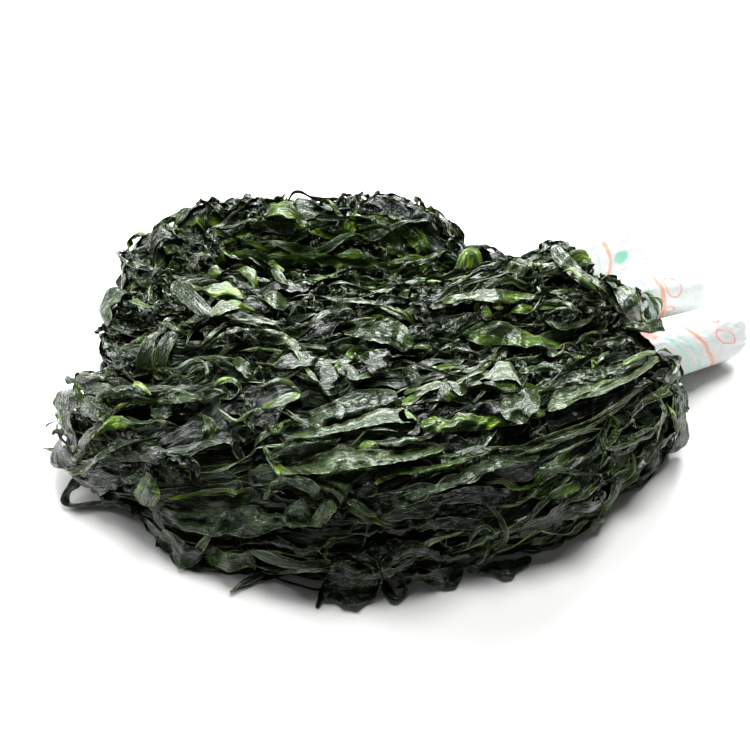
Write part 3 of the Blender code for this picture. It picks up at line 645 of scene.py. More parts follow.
     ((560, 508), (572, 500), (585, 497), (593, 490), (601, 484)),
     4),
    (0.15, 0, (1, 1, 1), -1, 0, 0.4,
     ((570, 507), (580, 503), (590, 502), (601, 500)),
     ((572, 512), (580, 512), (592, 512), (602, 503))),
    # Over the films' mouths.
    (0.9, 0.05, (0, 2, 3, 1), -3, 1, 0.9,
     ((556, 243), (566, 252), (578, 265), (588, 274), (602, 281)),
     ((548, 250), (556, 262), (568, 274), (580, 284), (596, 292))),
    (0.9, 0.7, (1, 4, 4, 1), 0, 1, 0.3,
     ((562, 272), (572, 269), (580, 276), (588, 284), (598, 293), (602, 296)),
     5),
    (0.9, 0.95, (1, 4, 1), 0, 0.5, 0.3,
     ((585, 277), (590, 276), (595, 279)),
     4),
    (0, 0.1, (0, 1, 1, 0), 2, 1, 0.8,
     ((602, 274), (612, 278), (622, 284), (632, 290)),
     ((600, 290), (608, 300), (618, 312), (628, 322))),
    (1, 0.05, (1, 3, 1), -5, 0.5, 0.6,
     ((592, 282), (600, 286), (606, 292)),
     5),
    (1, 0.05, (1, 3, 1), -5, 0.5, 0.6,
     ((606, 281), (614, 285), (621, 290)),
     6),
    (1, 0.2, (1, 3, 3, 1), -3, 0.5, 0.4,
     ((613, 288), (618, 296), (624, 306), (630, 322)),
     6),
    (0.3, 0.25, (0, 2, 2, 0), 5, 1, 0.5,
     ((622, 284), (630, 287), (637, 295), (642, 302), (643, 318)),
     ((614, 292), (618, 302), (624, 312), (630, 320), (640, 322))),
    (0.9, 0.6, (0, 3, 3, 1), 0, 1, 0.3,
     ((641, 294), (647, 293), (655, 303), (658, 312), (656, 319)),
     5),
    (0.9, 0.5, (0, 3, 1), 0, 1, 0.3,
     ((640, 300), (641, 310), (644, 320), (650, 322), (656, 319)),
     4),
    (0.9, 0.8, (1, 4, 1), 0, 0.5, 0.3,
     ((649, 296), (656, 298), (662, 303), (661, 311)),
     4),
    (0.2, 0.25, (0, 1, 1, 0), 4, 1, 0.5,
     ((618, 326), (630, 321), (645, 323), (660, 318), (664, 328)),
     ((620, 330), (630, 334), (642, 333), (655, 333), (666, 331))),
    (0.3, 0.1, (0, 2, 1, 0), 0, 1, 0.9,
     ((592, 345), (602, 339), (614, 337), (626, 335), (636, 339), (643, 344)),
     ((594, 348), (606, 348), (618, 350), (630, 346), (638, 348), (644, 346))),
    (0.9, 0.7, (0, 3, 0), 0, 1, 0.4,
     ((657, 352), (664, 349), (672, 354)),
     6),
    # Right end.
    (0.4, 0.05, (0, 2, 2, 0), 0, 1, 0.6,
     ((678, 381), (684, 386), (688, 394), (686, 403), (686, 415), (688, 425), (689, 438), (685, 446),
      (676, 452), (664, 455)),
     ((670, 386), (674, 392), (675, 402), (676, 412), (678, 424), (677, 436), (673, 444), (668, 449),
      (660, 451))),
    (0.9, 0.9, (1, 2, 1), 0, 1, 0.4,
     ((667, 404), (672, 412), (675, 420), (677, 432), (673, 438)),
     5),
    (1, 0.1, (1, 2, 1), 0, 1, 0.4,
     ((676, 391), (681, 396), (684, 403)),
     8),
    (0.9, 0.05, (0, 3, 4, 3, 0), 0, 0.6, 0.3,
     ((520, 446), (545, 437), (565, 430), (585, 423), (605, 412), (622, 402), (640, 390), (650, 384)),
     3),
    (0.8, 0.05, (0, 3, 4, 3, 0), 0, 0.6, 0.3,
     ((530, 450), (550, 442), (575, 434), (600, 421), (618, 409), (632, 398)),
     3),
    (0.8, 0.05, (0, 3, 3, 0), 0, 0.6, 0.3,
     ((515, 456), (540, 449), (560, 441), (585, 432), (605, 428)),
     3),
    (0.8, 0.05, (0, 2, 0), 0, 0.6, 0.3,
     ((540, 462), (560, 452), (575, 446), (590, 437)),
     2.5),
    (0.9, 0.1, (0, 3, 4, 3, 0), 0, 1, 0.3,
     ((600, 438), (603, 446), (612, 449), (622, 446), (640, 439), (650, 435), (657, 427), (663, 418),
      (664, 408), (656, 397), (648, 389)),
     4.5),
    (0.9, 0.2, (0, 3, 0), -1, 1, 0.3,
     ((620, 442), (630, 438), (640, 433), (650, 429), (657, 428)),
     5),
    (0.9, 0.05, (0, 3, 0), 0, 1, 0.2,
     ((657, 444), (658, 434), (660, 424), (664, 415)),
     4),
    (0.9, 0.05, (0, 2, 0), 0, 0.5, 0.2,
     ((565, 466), (572, 460), (580, 453)),
     3),
)
TRACE_ROW = 1.8  # pixels
TRACE_COLUMN = 1.6
TRACE_END = 12.0  # pixels over which a leaf given by its width narrows
TRACE_WAVE = 1.1  # pixels, how far its edges wander
TRACE_WAVE_LENGTH = 8.0
TRACE_PLEAT = 4.2
TRACE_RUFFLE = 15.0
TRACE_GAP = 0.9
TRACE_BUMP = (0.3, 0.85)  # how wrinkled it is: the least, and more for each unit of its pleats
TRACE_HIGHEST = 66.0
HIGHEST = 64.0  # above this, fronds laid on a hank flatten out
MOST_OVER = 4.0  # how far above it they still get
STEEPEST = 0.75  # millimetres of depth for each pixel
PIXEL = 0.5  # the width of a pixel at the heap
MOST_TRIANGLES = 190000  # in one piece
ROW_STEP = 1.4
COLUMN_STEP = 1.35
MOST_COLUMNS = 26

# The photo's camera: what it looks at in the heap's plan, and from how far.
CAMERA_FOCUS = np.array([14.5, 0.0, 25.0])
CAMERA_DISTANCE = 397.7
CAMERA_ELEVATION = math.radians(41.0)
FOCAL_PIXELS = 800.0
PHOTO_SIDE = 750.0
SENSOR = 36.0

# The studio, in the part's frame, in metres.
FLOOR_SPAN = 1.6
FLOOR_COLOUR = (0.86, 0.86, 0.85)
FLOOR_ROUGHNESS = 0.6
WORLD_STRENGTH = 0.09
LIGHT_TARGET = (0, 0, 0.03)
# Softboxes: place, size and watts.
LIGHTS = {
    "back_softbox": ((0.05, 0.72, 0.54), (0.9, 0.5), 26),
    "left_softbox": ((-0.75, 0.30, 0.50), (0.5, 0.4), 7),
    "top_softbox": ((0.05, 0.05, 1.10), (0.45, 0.4), 13),
}


def hashed(ix, iy, seed):
    """A repeatable number from 0 to 1 for each pair of whole numbers."""
    n = (ix * HASH[0] + iy * HASH[1] + seed * HASH[2]) & 0xFFFFFFFF
    n = ((n ^ (n >> 13)) * HASH[3]) & 0xFFFFFFFF
    return ((n ^ (n >> 16)) & 0xFFFF) / 65535.0


def noise(x, y, seed):
    """Smooth gradient noise, about -1 to 1, with features one unit apart."""
    x, y = np.broadcast_arrays(np.asarray(x, float), np.asarray(y, float))
    ix, iy = np.floor(x).astype(np.int64), np.floor(y).astype(np.int64)
    fx, fy = x - ix, y - iy
    sx, sy = fx * fx * (3 - 2 * fx), fy * fy * (3 - 2 * fy)
    total = np.zeros(x.shape)
    for dx in (0, 1):
        for dy in (0, 1):
            turn = 2 * math.pi * hashed(ix + dx, iy + dy, seed)
            weight = (sx if dx else 1 - sx) * (sy if dy else 1 - sy)
            total += weight * (np.cos(turn) * (fx - dx) + np.sin(turn) * (fy - dy))
    return NOISE_GAIN * total


def ridges(x, y, seed):
    """Noise with sharp crests, about -1 to 1."""
    return 1 - RIDGE_GAIN * np.abs(noise(x, y, seed))


def smooth(x):
    """From 0 to 1, with level ends."""
    x = np.clip(x, 0, 1)
    return x * x * (3 - 2 * x)


def seed_of(seeds, k):
    """The seed of the leaf with number k, of a first seed and a step."""
    return seeds[0] + seeds[1] * k


def grid_faces(index):
    """Faces with four corners between the rows and columns of a grid of point numbers."""
    corners = (index[:-1, :-1], index[:-1, 1:], index[1:, 1:], index[1:, :-1])
    return np.stack(corners, axis=-1).reshape(-1, 4)


def run_along(points):
    """How far along a line each of its points is."""
    return np.r_[0, np.cumsum(np.linalg.norm(np.diff(points, axis=0), axis=1))]


def columns_for(half, step):
    """How many points there are across a leaf."""
    return int(min(max(round(2 * half / step), 3), MOST_COLUMNS)) + 1


def tilted(x, z, angle):
    """Places across a leaf, turned about its middle line."""
    return x * math.cos(angle) - z * math.sin(angle), x * math.sin(angle) + z * math.cos(angle)


def spline(points, count):
    """count points evenly spread in parameter on a Catmull-Rom curve through points."""
    points = np.asarray(points, float)
    ends = 2 * points[[0, -1]] - points[[1, -2]]
    padded = np.vstack([ends[:1], points, ends[1:]])
    at = np.linspace(0, len(points) - 1 - 1e-9, count)
    i = at.astype(int)
    f = (at - i)[:, None]
    a, b, c, d = (padded[i + k] for k in range(4))
    return 0.5 * (2 * b + (c - a) * f + (2 * a - 5 * b + 4 * c - d) * f**2 + (3 * (b - c) + d - a) * f**3)


def even_spline(points, step, width):
    """A smooth curve through points, sampled about every step along its first width coordinates."""
    fine = spline(points, 40 * len(points))
    run = run_along(fine[:, :width])
    at = np.linspace(0, run[-1], max(3, round(run[-1] / step) + 1))
    return np.stack([np.interp(at, run, column) for column in fine.T], axis=1)


def signed_power(x, power):
    return np.sign(x) * np.abs(x) ** power


def unit(vectors):
    return vectors / np.maximum(np.linalg.norm(vectors, axis=-1, keepdims=True), 1e-9)


def to_part(points):
    """From the heap's plan in millimetres to the part's frame in metres."""
    return (np.asarray(points) + PLAN_TO_PART) / 1000


class Hank:
    """A hank's outer surface over (distance along, share round), and how high its fronds lie on it."""

    def __init__(self, stations, twist):
        self.twist = twist
        track = even_spline(stations, CELL, 2)
        middle, half, height = track[:, :2], track[:, 2], track[:, 3]
        along = unit(np.gradient(middle, axis=0))
        rows = []
        for turn in np.linspace(math.pi / 2, 0, CAP_ROWS, endpoint=False):
            reach = CAP_REACH * half[0] * math.sin(turn)
            rows.append((middle[0] - along[0] * reach, along[0], half[0], height[0], math.cos(turn)))
        for i in range(len(track)):
            rows.append((middle[i], along[i], half[i], height[i], 1.0))
        for turn in np.linspace(0, math.pi / 2, CAP_ROWS + 1)[1:]:
            reach = CAP_REACH * half[-1] * math.sin(turn)
            rows.append((middle[-1] + along[-1] * reach, along[-1], half[-1], height[-1], math.cos(turn)))
        self.middle, self.half, self.height = middle, half, height
        self.along, self.left = along, np.stack([-along[:, 1], along[:, 0]], axis=1)
        self.points = np.array([self.section(*row) for row in rows])
        self.run = run_along(self.points[:, ROUND_CELLS // 2])
        self.length = self.run[-1]
        self.girth = np.linalg.norm(np.diff(self.points, axis=1), axis=2).sum(axis=1)
        normal = np.cross(np.gradient(self.points, axis=0), np.gradient(self.points, axis=1))
        self.normals = unit(normal)
        across = np.linspace(0, 1, ROUND_CELLS) * self.girth[:, None] - twist * self.run[:, None]
        strands = ridges(across / STRAND_WIDTH, self.run[:, None] / STRAND_LENGTH, round(self.length))
        self.relief = STRAND_RELIEF * strands
        self.top = self.relief - CORE_DEPTH
        self.soft = self.top.copy()
        self.shown = np.ones(self.points.shape[:2], bool)
        rows, columns = self.points.shape[:2]
        quads = grid_faces(np.arange(rows * columns).reshape(rows, columns))
        self.tree = BVHTree.FromPolygons(self.points.reshape(-1, 3).tolist(), quads.tolist())

    def struck(self, origin, direction):
        """How far a ray goes to this hank, and where along and round it meets it, or None."""
        _, _, face, reach = self.tree.ray_cast(Vector(origin), Vector(direction))
        if face is None:
            return None
        i, j = divmod(face, ROUND_CELLS - 1)
        return reach, 0.5 * (self.run[i] + self.run[i + 1]), (j + 0.5) / (ROUND_CELLS - 1)

    @staticmethod
    def section(middle, along, half, height, scale):
        """Points of a section from floor to floor, over the top, evenly spaced."""
        half_height = height / (1 + BELLY)
        lowest = math.pi - math.acos(BELLY ** (SECTION_POWER / 2))
        turn = np.linspace(-lowest, lowest, 8 * ROUND_CELLS)
        side = half * signed_power(np.sin(turn), 2 / SECTION_POWER)
        up = half_height * (BELLY + signed_power(np.cos(turn), 2 / SECTION_POWER))
        run = np.r_[0, np.cumsum(np.hypot(np.diff(side), np.diff(up)))]
        even = np.linspace(0, run[-1], ROUND_CELLS)
        small = max(scale, CAP_LEAST)
        side = np.interp(even, run, side) * small
        up = half_height * BELLY + (np.interp(even, run, up) - half_height * BELLY) * small
        left = np.array([-along[1], along[0]])
        return np.column_stack([middle + side[:, None] * left, up])

    def cell(self, distance, share):
        """Row and column of a place on the surface, with the fractions between cells."""
        u = np.interp(distance, self.run, np.arange(len(self.run)))
        u = np.clip(u, 0, len(self.run) - 1.001)
        v = np.clip(share, 0.012, 0.988) * (ROUND_CELLS - 1.001)
        i, j = u.astype(int), v.astype(int)
        return i, j, u - i, v - j

    def sample(self, grid, distance, share):
        """A value kept in cells, read between them."""
        i, j, fu, fv = self.cell(distance, share)
        if grid.ndim == 3:
            fu, fv = fu[..., None], fv[..., None]
        low = grid[i, j] * (1 - fv) + grid[i, j + 1] * fv
        high = grid[i + 1, j] * (1 - fv) + grid[i + 1, j + 1] * fv
        return low * (1 - fu) + high * fu

    def at(self, distance, share, out):
        """Points out from the surface."""
        normal = unit(self.sample(self.normals, distance, share))
        return self.sample(self.points, distance, share) + normal * out[..., None]

    def above(self, distance, share, lift):
        """A point lifted off the fronds that lie at one place."""
        distance, share = np.array([distance]), np.array([share])
        return self.at(distance, share, self.sample(self.soft, distance, share) + lift)[0]

    def shown_at(self, distance, share):
        """How far places are outside the other hanks, from 0 to 1."""
        return self.sample(self.shown.astype(float), distance, share)

    def girth_at(self, distance):
        return np.maximum(np.interp(distance, self.run, self.girth), LEAST_GIRTH)

    def holds(self, points, margin=0.0):
        """Which of the points are inside this hank, by more than a margin."""
        flat = points.reshape(-1, 3)
        nearest = np.empty(len(flat), int)
        for low in range(0, len(flat), 4000):
            gap = flat[low : low + 4000, None, :2] - self.middle
            nearest[low : low + 4000] = np.argmin((gap**2).sum(axis=2), axis=1)
        gap = flat[:, :2] - self.middle[nearest]
        half_height = self.height[nearest] / (1 + BELLY)
        across = np.abs((gap * self.left[nearest]).sum(axis=1)) / np.maximum(self.half[nearest] - margin, 1)
        rise = np.abs(flat[:, 2] / half_height - BELLY) * half_height / np.maximum(half_height - margin, 1)
        past = np.abs((gap * self.along[nearest]).sum(axis=1)) > 2 * CELL
        inside = ~past & (across**SECTION_POWER + rise**SECTION_POWER < 1)
        return inside.reshape(points.shape[:-1])

    def settle(self):
        """Smooths the fronds' heights, so that the next frond spans small dips."""
        grid = self.top
        for axis in (0, 1):
            grid = np.maximum(grid, np.maximum(np.roll(grid, 1, axis), np.roll(grid, -1, axis)))
        for axis in (0, 1):
            near = np.roll(grid, 1, axis) + np.roll(grid, -1, axis)
            far = np.roll(grid, 2, axis) + np.roll(grid, -2, axis)
            grid = (6 * grid + 4 * near + far) / 16
        self.soft = grid


class Leaves:
    """Leaf sheets gathered to be made into meshes, with each point's place on its leaf and its shade."""

    def __init__(self):
        self.sheets = []

    def add(self, points, places, shades, closed=False):
        """Adds a sheet of rows and columns of points, closed round its rows or not."""
        rows, columns = points.shape[:2]
        index = np.arange(rows * columns).reshape(rows, columns)
        if closed:
            index = np.concatenate([index, index[:, :1]], axis=1)
        faces = grid_faces(index)
        self.sheets.append((points.reshape(-1, 3), faces, places.reshape(-1, 2), shades.reshape(-1, 4)))

    def add_leaf(self, points, run, half, tone, thin, bump, seed):
        """Adds a leaf with its shades and with wrinkles of its own."""
        columns = points.shape[1]
        shades = leaf_shade(tone, thin, bump, run, columns, half, seed)
        self.add(points, leaf_place(run, columns, half, seed), shades)

    def build(self, name, material):
        """One object, or several if one would have too many triangles."""
        groups, size = [[]], 0
        for sheet in self.sheets:
            if size + 2 * len(sheet[1]) > MOST_TRIANGLES:
                groups.append([])
                size = 0
            groups[-1].append(sheet)
            size += 2 * len(sheet[1])
        named = [(f"{name}_{n + 1}", group) for n, group in enumerate(groups) if group]
        return [self.build_part(part_name, group, material) for part_name, group in named]

    @staticmethod
    def build_part(name, sheets, material):
        """An object of some sheets."""
        points, faces, places, shades = zip(*sheets)
        starts = np.cumsum([0] + [len(p) for p in points[:-1]])
        faces = np.vstack([f + start for f, start in zip(faces, starts)])
        made = mesh_object(name, to_part(np.vstack(points)), faces, material)
        mesh = made.data
        corners = np.empty(len(mesh.loops), int)
        mesh.loops.foreach_get("vertex_index", corners)
        layer = mesh.uv_layers.new(name="along_leaf")
        layer.data.foreach_set("uv", np.vstack(places)[corners].ravel())
        attribute = mesh.attributes.new("shade", "FLOAT_COLOR", "POINT")
        attribute.data.foreach_set("color", np.vstack(shades).ravel())
        return made


def mesh_object(name, points, faces, material):
    """A smooth-shaded mesh object from arrays of points and of faces with the same number of corners."""
    mesh = bpy.data.meshes.new(name)
    corners = faces.shape[1]
    mesh.vertices.add(len(points))
    mesh.vertices.foreach_set("co", np.ascontiguousarray(points, np.float32).ravel())
    mesh.loops.add(faces.size)
    mesh.loops.foreach_set("vertex_index", np.ascontiguousarray(faces, np.int32).ravel())
    mesh.polygons.add(len(faces))
    mesh.polygons.foreach_set("loop_start", np.arange(0, faces.size, corners, dtype=np.int32))
    mesh.update(calc_edges=True)
    mesh.validate()
    mesh.shade_smooth()
    mesh.materials.append(material)
    made = bpy.data.objects.new(name, mesh)
    bpy.context.scene.collection.objects.link(made)
    return made


def leaf_form(kind, run, half, columns, seed):
    """Sideways and outward place in millimetres of each point of a leaf, about its middle line.

    The leaf keeps its own width: it is a strip that turns by an angle at each point across, summed up.
    """
    s = run[:, None]
    t = np.linspace(-1, 1, columns)[None, :]
    w = half[:, None]
    flat = w * t * (1 + 0.2 * noise(s / 13.0, 2.0 * np.sign(t), seed + 14) * np.abs(t))
    wide = kind["wide"][0] + (kind["wide"][1] - kind["wide"][0]) * hashed(seed, 1, 2)
    phase = 2 * math.pi * flat / wide + 2.6 * noise(s / 70.0, flat / 24.0, seed + 2)
    phase = phase + 1.2 * noise(s / 26.0, 0.0, seed)
    depth = kind["pleat"] * np.clip(0.85 + 0.9 * noise(s / 45.0, flat / 18.0, seed + 3), 0.15, 1.5)
    angle = depth * np.tanh(2.0 * np.sin(phase))
    fine, rough = kind["grain"]
    crumples = noise(flat / fine + s / 30.0, s / rough, seed + 1)
    angle = angle + kind["crumple"] * 0.8 * np.tanh(4.0 * crumples)
    for side in (-1, 1):
        rim = np.clip((side * t - 0.35) / 0.65, 0, 1) ** 1.4
        wave = s * 2 * math.pi / 17.0 + 5.5 * noise(s / 23.0, side, seed + 4)
        depth = kind["ruffle"] * np.clip(0.6 + 1.1 * noise(s / 30.0, 7.0 * side, seed + 5), 0.0, 1.7)
        angle = angle + side * rim * depth * np.sin(wave)
    folded = 2.5 * smooth((kind["fold"] - 0.55 + 0.9 * noise(s / 55.0, 3.0, seed + 6)) * 3.0)
    hinge = w * (0.1 + 0.5 * noise(s / 60.0, 9.0, seed + 7))
    angle = angle + folded / (1 + np.exp((hinge - flat) / 0.55))
    angle = angle + kind["tilt"] * (noise(s / 50.0, 1.0, seed + 8) + 0.8 * hashed(seed, 3, 1) - 0.4)
    step = np.diff(flat, axis=1)
    middle = 0.5 * (angle[:, 1:] + angle[:, :-1])
    start = np.zeros((len(run), 1))
    x = np.concatenate([start, np.cumsum(np.cos(middle) * step, axis=1)], axis=1)
    z = np.concatenate([start, np.cumsum(np.sin(middle) * step, axis=1)], axis=1)
    x = x - 0.5 * (x.max(axis=1, keepdims=True) + x.min(axis=1, keepdims=True))
    z = z - z.mean(axis=1, keepdims=True)
    waves = noise(s / 17.0, 0.5 * t, seed + 12) + 0.5 * ridges(s / 31.0, 0.6 * t, seed + 13)
    z = z + kind["buckle"] * waves
    return x, MOST_RISE * np.tanh(z / MOST_RISE)


def leaf_half(half, run, length, seed, root=0.3, tip=0.06):
    """Half the width along a leaf: narrow at both ends and uneven between them."""
    f = run / length
    widening = root + (1 - root) * smooth(f / 0.3)
    taper = np.minimum(widening, tip + (1 - tip) * np.clip((1 - f) / 0.4, 0, 1) ** 0.8)
    uneven = 1 + 0.38 * noise(run / 17.0, 5.0, seed + 9) + 0.2 * noise(run / 6.0, 8.0, seed + 9)
    return half * taper * uneven


def leaf_shade(tone, thin, bump, run, columns, half, seed):
    """For each point of a leaf: its tone, how thin and bright, how near the rim, where a painted highlight
    goes, and how wrinkled it is.
    """
    s = run[:, None]
    t = np.linspace(-1, 1, columns)[None, :]
    patch = smooth(0.35 + 1.5 * noise(s / 15.0, t * 0.9, seed + 10))
    # How bright: the material paints there the light that shines through a thin single layer.
    bright = np.clip(thin * (0.15 + 1.2 * patch) + 0.2 * thin * np.abs(t), 0, 1)
    # How near the rim: the material paints a highlight there, as if the leaf's edge caught the light.
    rim = np.clip(1 - half[:, None] * (1 - np.abs(t)) / RIM_HIGHLIGHT, 0, 1)
    return np.stack([np.full_like(bright, tone), bright, rim, np.full_like(bright, bump)], axis=-1)


def leaf_place(run, columns, half, seed):
    """Each point's place on its leaf in centimetres, moved so that no two leaves share their wrinkles."""
    across = half[:, None] * np.linspace(-1, 1, columns)[None, :]
    s, x = np.broadcast_arrays(run[:, None], across)
    return np.stack([s / 10 + (seed * 3.7) % 50, x / 10 + (seed * 1.9) % 50], axis=-1)


def wrap_frame(inner, outer):
    """A wrap's inner end and length, and the directions along it, to its side and over it."""
    inner, outer = np.array(inner), np.array(outer)
    length = np.linalg.norm(outer - inner)
    axis = (outer - inner) / length
    side = unit(np.cross(axis, (0, 0, 1)))
    return inner, length, axis, side, np.cross(side, axis)


def clear_of_wraps(points):
    """Moves points that are in a wrap back to its mouth, and those that touch it out to its surface."""
    for ends in WRAPS.values():
        inner, length, axis, _, _ = wrap_frame(*ends)
        gap = points - inner
        distance = gap @ axis
        sideways = gap - distance[..., None] * axis
        reach = np.linalg.norm(sideways, axis=-1)
        wanted = WRAP_RADIUS + WRAP_CLEARANCE
        near = (distance > MOUTH_FILL) & (distance < length + 4) & (reach < wanted)
        deep = near & (reach < WRAP_DEEP * wanted)
        moved = inner + distance[..., None] * axis + sideways / np.maximum(reach, 0.1)[..., None] * wanted
        drawn = points - (WRAP_DRAWN * (distance - MOUTH_FILL))[..., None] * axis
        points = np.where(deep[..., None], drawn, np.where(near[..., None], moved, points))
    return points


def pick_tone(rng, share=0.4):
    """A leaf's tone from 0, black, to 1, mid green, and how thin and bright it is."""
    tone = rng.betavariate(*TONE_SPREAD)
    thin = rng.random() ** 2 * 0.95 if rng.random() < share else THICK
    return tone, thin


def lowest_place(hank, length, rng):
    """Where along and round a hank its fronds lie lowest, of some places tried at random."""
    best = None
    for _ in range(TRIES):
        start = rng.uniform(*START_RANGE) * hank.length
        start = min(max(start, 0.0), max(hank.length - 0.7 * length, 0.0))
        share = rng.uniform(*SHARE_RANGE)
        at = np.linspace(start, min(start + length, hank.length), 9)
        where = share + hank.twist * (at - start - 0.5 * length) / hank.girth_at(at)
        low = hank.sample(hank.soft - hank.relief, at, where)
        seen = hank.shown_at(at, where)
        score = float(np.mean(np.where(seen > 0.5, low, HIDDEN_SCORE)))
        if best is None or score < best[0]:
            best = (score, start, share)
    return best


def lay_frond(hank, leaves, kind_name, rng, seed, coarse, loose, mess, longest, sheer):
    """Lays one frond along a hank where its fronds lie lowest. A loose one arches off the others."""
    kind = KINDS[kind_name]
    length = min(rng.uniform(*kind["length"]), longest)
    half = rng.uniform(*kind["half"])
    score, start, share = lowest_place(hank, length, rng)
    length = min(length, hank.length - start)
    if score > (FULL + LOOSE_FULL if loose else FULL) or length < SHORTEST:
        return
    half = min(half, LOOSE_HALF) if loose else half
    run = np.linspace(0, length, max(10, round(length / (ROW_STEP * coarse))))
    heading = hank.twist + rng.gauss(0, mess) * (1 if rng.random() < 0.8 else 2.5)
    distance = start + run * math.cos(heading)
    sideways = (run - 0.5 * length) * math.sin(heading) + WANDER * noise(run / 55.0, 2.0, seed + 11)
    tone, thin = pick_tone(rng, sheer)
    shares = share + sideways / hank.girth_at(distance)
    arch = LOOSE_RISE * np.clip(noise(run / 27.0, 4.0, seed + 21) + 0.15, 0, 1) if loose else 0.0
    lay_leaf(hank, leaves, kind, distance, shares, half, tone, thin, seed, arch, coarse=coarse)


def lay_leaf(hank, leaves, kind, distance, share, half, tone, thin, seed, lift=0.0, tilt=0.0, coarse=1.0):
    """Lays a leaf over what is on a hank already, along a line of distances along and shares round it."""
    girth = hank.girth_at(distance)
    across = share * girth
    run = np.r_[0, np.cumsum(np.hypot(np.diff(distance), np.diff(across)))]
    length = run[-1]
    columns = columns_for(half, COLUMN_STEP * coarse)
    halves = leaf_half(half, run, length, seed)
    x, z = tilted(*leaf_form(kind, run, halves, columns, seed), tilt)
    z = z + 0.6 * halves[:, None] * abs(math.sin(tilt))
    lean = np.arctan2(np.gradient(across), np.gradient(distance))[:, None]
    d = distance[:, None] - np.sin(lean) * x
    v = share[:, None] + np.cos(lean) * x / girth[:, None]
    local = hank.sample(hank.soft, d, v)
    stiff = hank.sample(hank.soft, distance, share)[:, None]
    ends = smooth(np.minimum(run, length - run) / END_LENGTH)[:, None]
    base = (1 - STIFFNESS) * local + STIFFNESS * stiff + LEAF_GAP
    rise = np.broadcast_to(lift, run.shape)[:, None]
    out = base + (z + LEAF_LIFT) * (0.4 + 0.6 * ends) - END_TUCK * (1 - ends) + rise * ends
    points = hank.at(d, v, out)
    off_middle = np.abs(points[..., 0] - SPREAD_MIDDLE) / SPREAD_SPAN
    most = SPREAD * np.clip(1.5 - off_middle, 0.1, 1) * (points[..., 1] < SPREAD_EDGE)
    past = np.clip((np.abs(v - 0.5) - FOOT_SHARE) * girth[:, None], 0, most)
    outward = hank.sample(hank.normals, d, v) * (1, 1, 0)
    points = points + unit(outward) * past[..., None]
    flat = smooth(past / 5.0)
    lying = FLOOR + 0.5 + np.maximum(z + LEAF_LIFT, 0) * 0.6
    points[..., 2] = points[..., 2] * (1 - flat) + lying * flat
    over = np.maximum(points[..., 2] - HIGHEST, 0)
    points[..., 2] = np.maximum(points[..., 2] - over + MOST_OVER * np.tanh(over / MOST_OVER), FLOOR)
    points = clear_of_wraps(points)
    leaves.add_leaf(points, run, halves, tone, thin, kind["bump"], seed)
    i, j, _, _ = hank.cell(d, v)
    part, more, most = LEAF_FILL
    np.maximum.at(hank.top, (i, j), np.minimum(base + part * z + more, base + most))
    hank.settle()


def free_leaf(leaves, kind, path, up, half, tone, thin, tilt, seed, root=0.6, tip=0.2, step=COLUMN_STEP):
    """A leaf along a line of points in the heap's plan, its flat side turned to the direction up."""
    run = run_along(path)
    columns = columns_for(half, step)
    halves = leaf_half(half, run, run[-1], seed, root, tip)
    x, z = tilted(*leaf_form(kind, run, halves, columns, seed), tilt)
    along = unit(np.gradient(path, axis=0))
    side = unit(np.cross(up, along))
    normal = np.cross(along, side)
    points = path[:, None] + side[:, None] * x[..., None] + normal[:, None] * z[..., None]
    points[..., 2] = np.maximum(points[..., 2], FLOOR + 0.25 * (1 + np.sin(run / 9.0))[:, None])
    leaves.add_leaf(points, run, halves, tone, thin, kind["bump"], seed)


def lay_curl(hank, leaves, rng, seed):
    """A short crumpled end or margin that curls up out of the others and back."""
    start, share = rng.uniform(0, hank.length), rng.uniform(0.1, 0.9)
    if hank.shown_at(np.array([start]), np.array([share]))[0] < 0.5:
        return
    heading = rng.uniform(0, 2 * math.pi)
    ways = []
    for lift in (-1.5, 1.5, rng.uniform(*CURL_LIFT), 2.0, -1.0):
        girth = hank.girth_at(start)
        ways.append(hank.above(start, share, lift))
        step = rng.uniform(*CURL_REACH)
        start += step * math.cos(heading)
        share += step * math.sin(heading) / girth
        heading += rng.choice((-1, 1)) * rng.uniform(*CURL_TURN)
    path = even_spline(ways, CURL_STEP, 3)
    normal = hank.sample(hank.normals, np.array([start]), np.array([share]))[0]
    tone, thin = pick_tone(rng)
    half, tilt = rng.uniform(*CURL_HALF), rng.uniform(-CURL_TILT, CURL_TILT)
    free_leaf(leaves, KINDS["shrivelled"], path, normal, half, tone, thin, tilt, seed, step=CURL_STEP)


def lay_thread(hank, leaves, rng, seed):
    """A thin strip of a torn leaf that runs loosely over the others along a hank."""
    length = rng.uniform(*THREAD_LENGTH)
    start, share = rng.uniform(0, max(hank.length - length, 1)), rng.uniform(0.05, 0.95)
    run = np.linspace(0, length, round(length / ROW_STEP))
    heading = hank.twist + rng.gauss(0, THREAD_MESS)
    distance = start + run * math.cos(heading)
    sideways = run * math.sin(heading) + 5.0 * noise(run / 30.0, 2.0, seed + 11)
    shares = share + sideways / hank.girth_at(distance)
    if hank.shown_at(distance, shares).mean() < 0.5:
        return
    tone, thin = pick_tone(rng)
    arch = THREAD_RISE * np.clip(noise(run / 18.0, 4.0, seed + 21), 0, 1)
    half, tilt = rng.uniform(*THREAD_HALF), rng.uniform(-THREAD_TILT, THREAD_TILT)
    tone = tone + THREAD_PALER
    lay_leaf(hank, leaves, KINDS["stalk"], distance, shares, half, tone, thin, seed, arch, tilt)


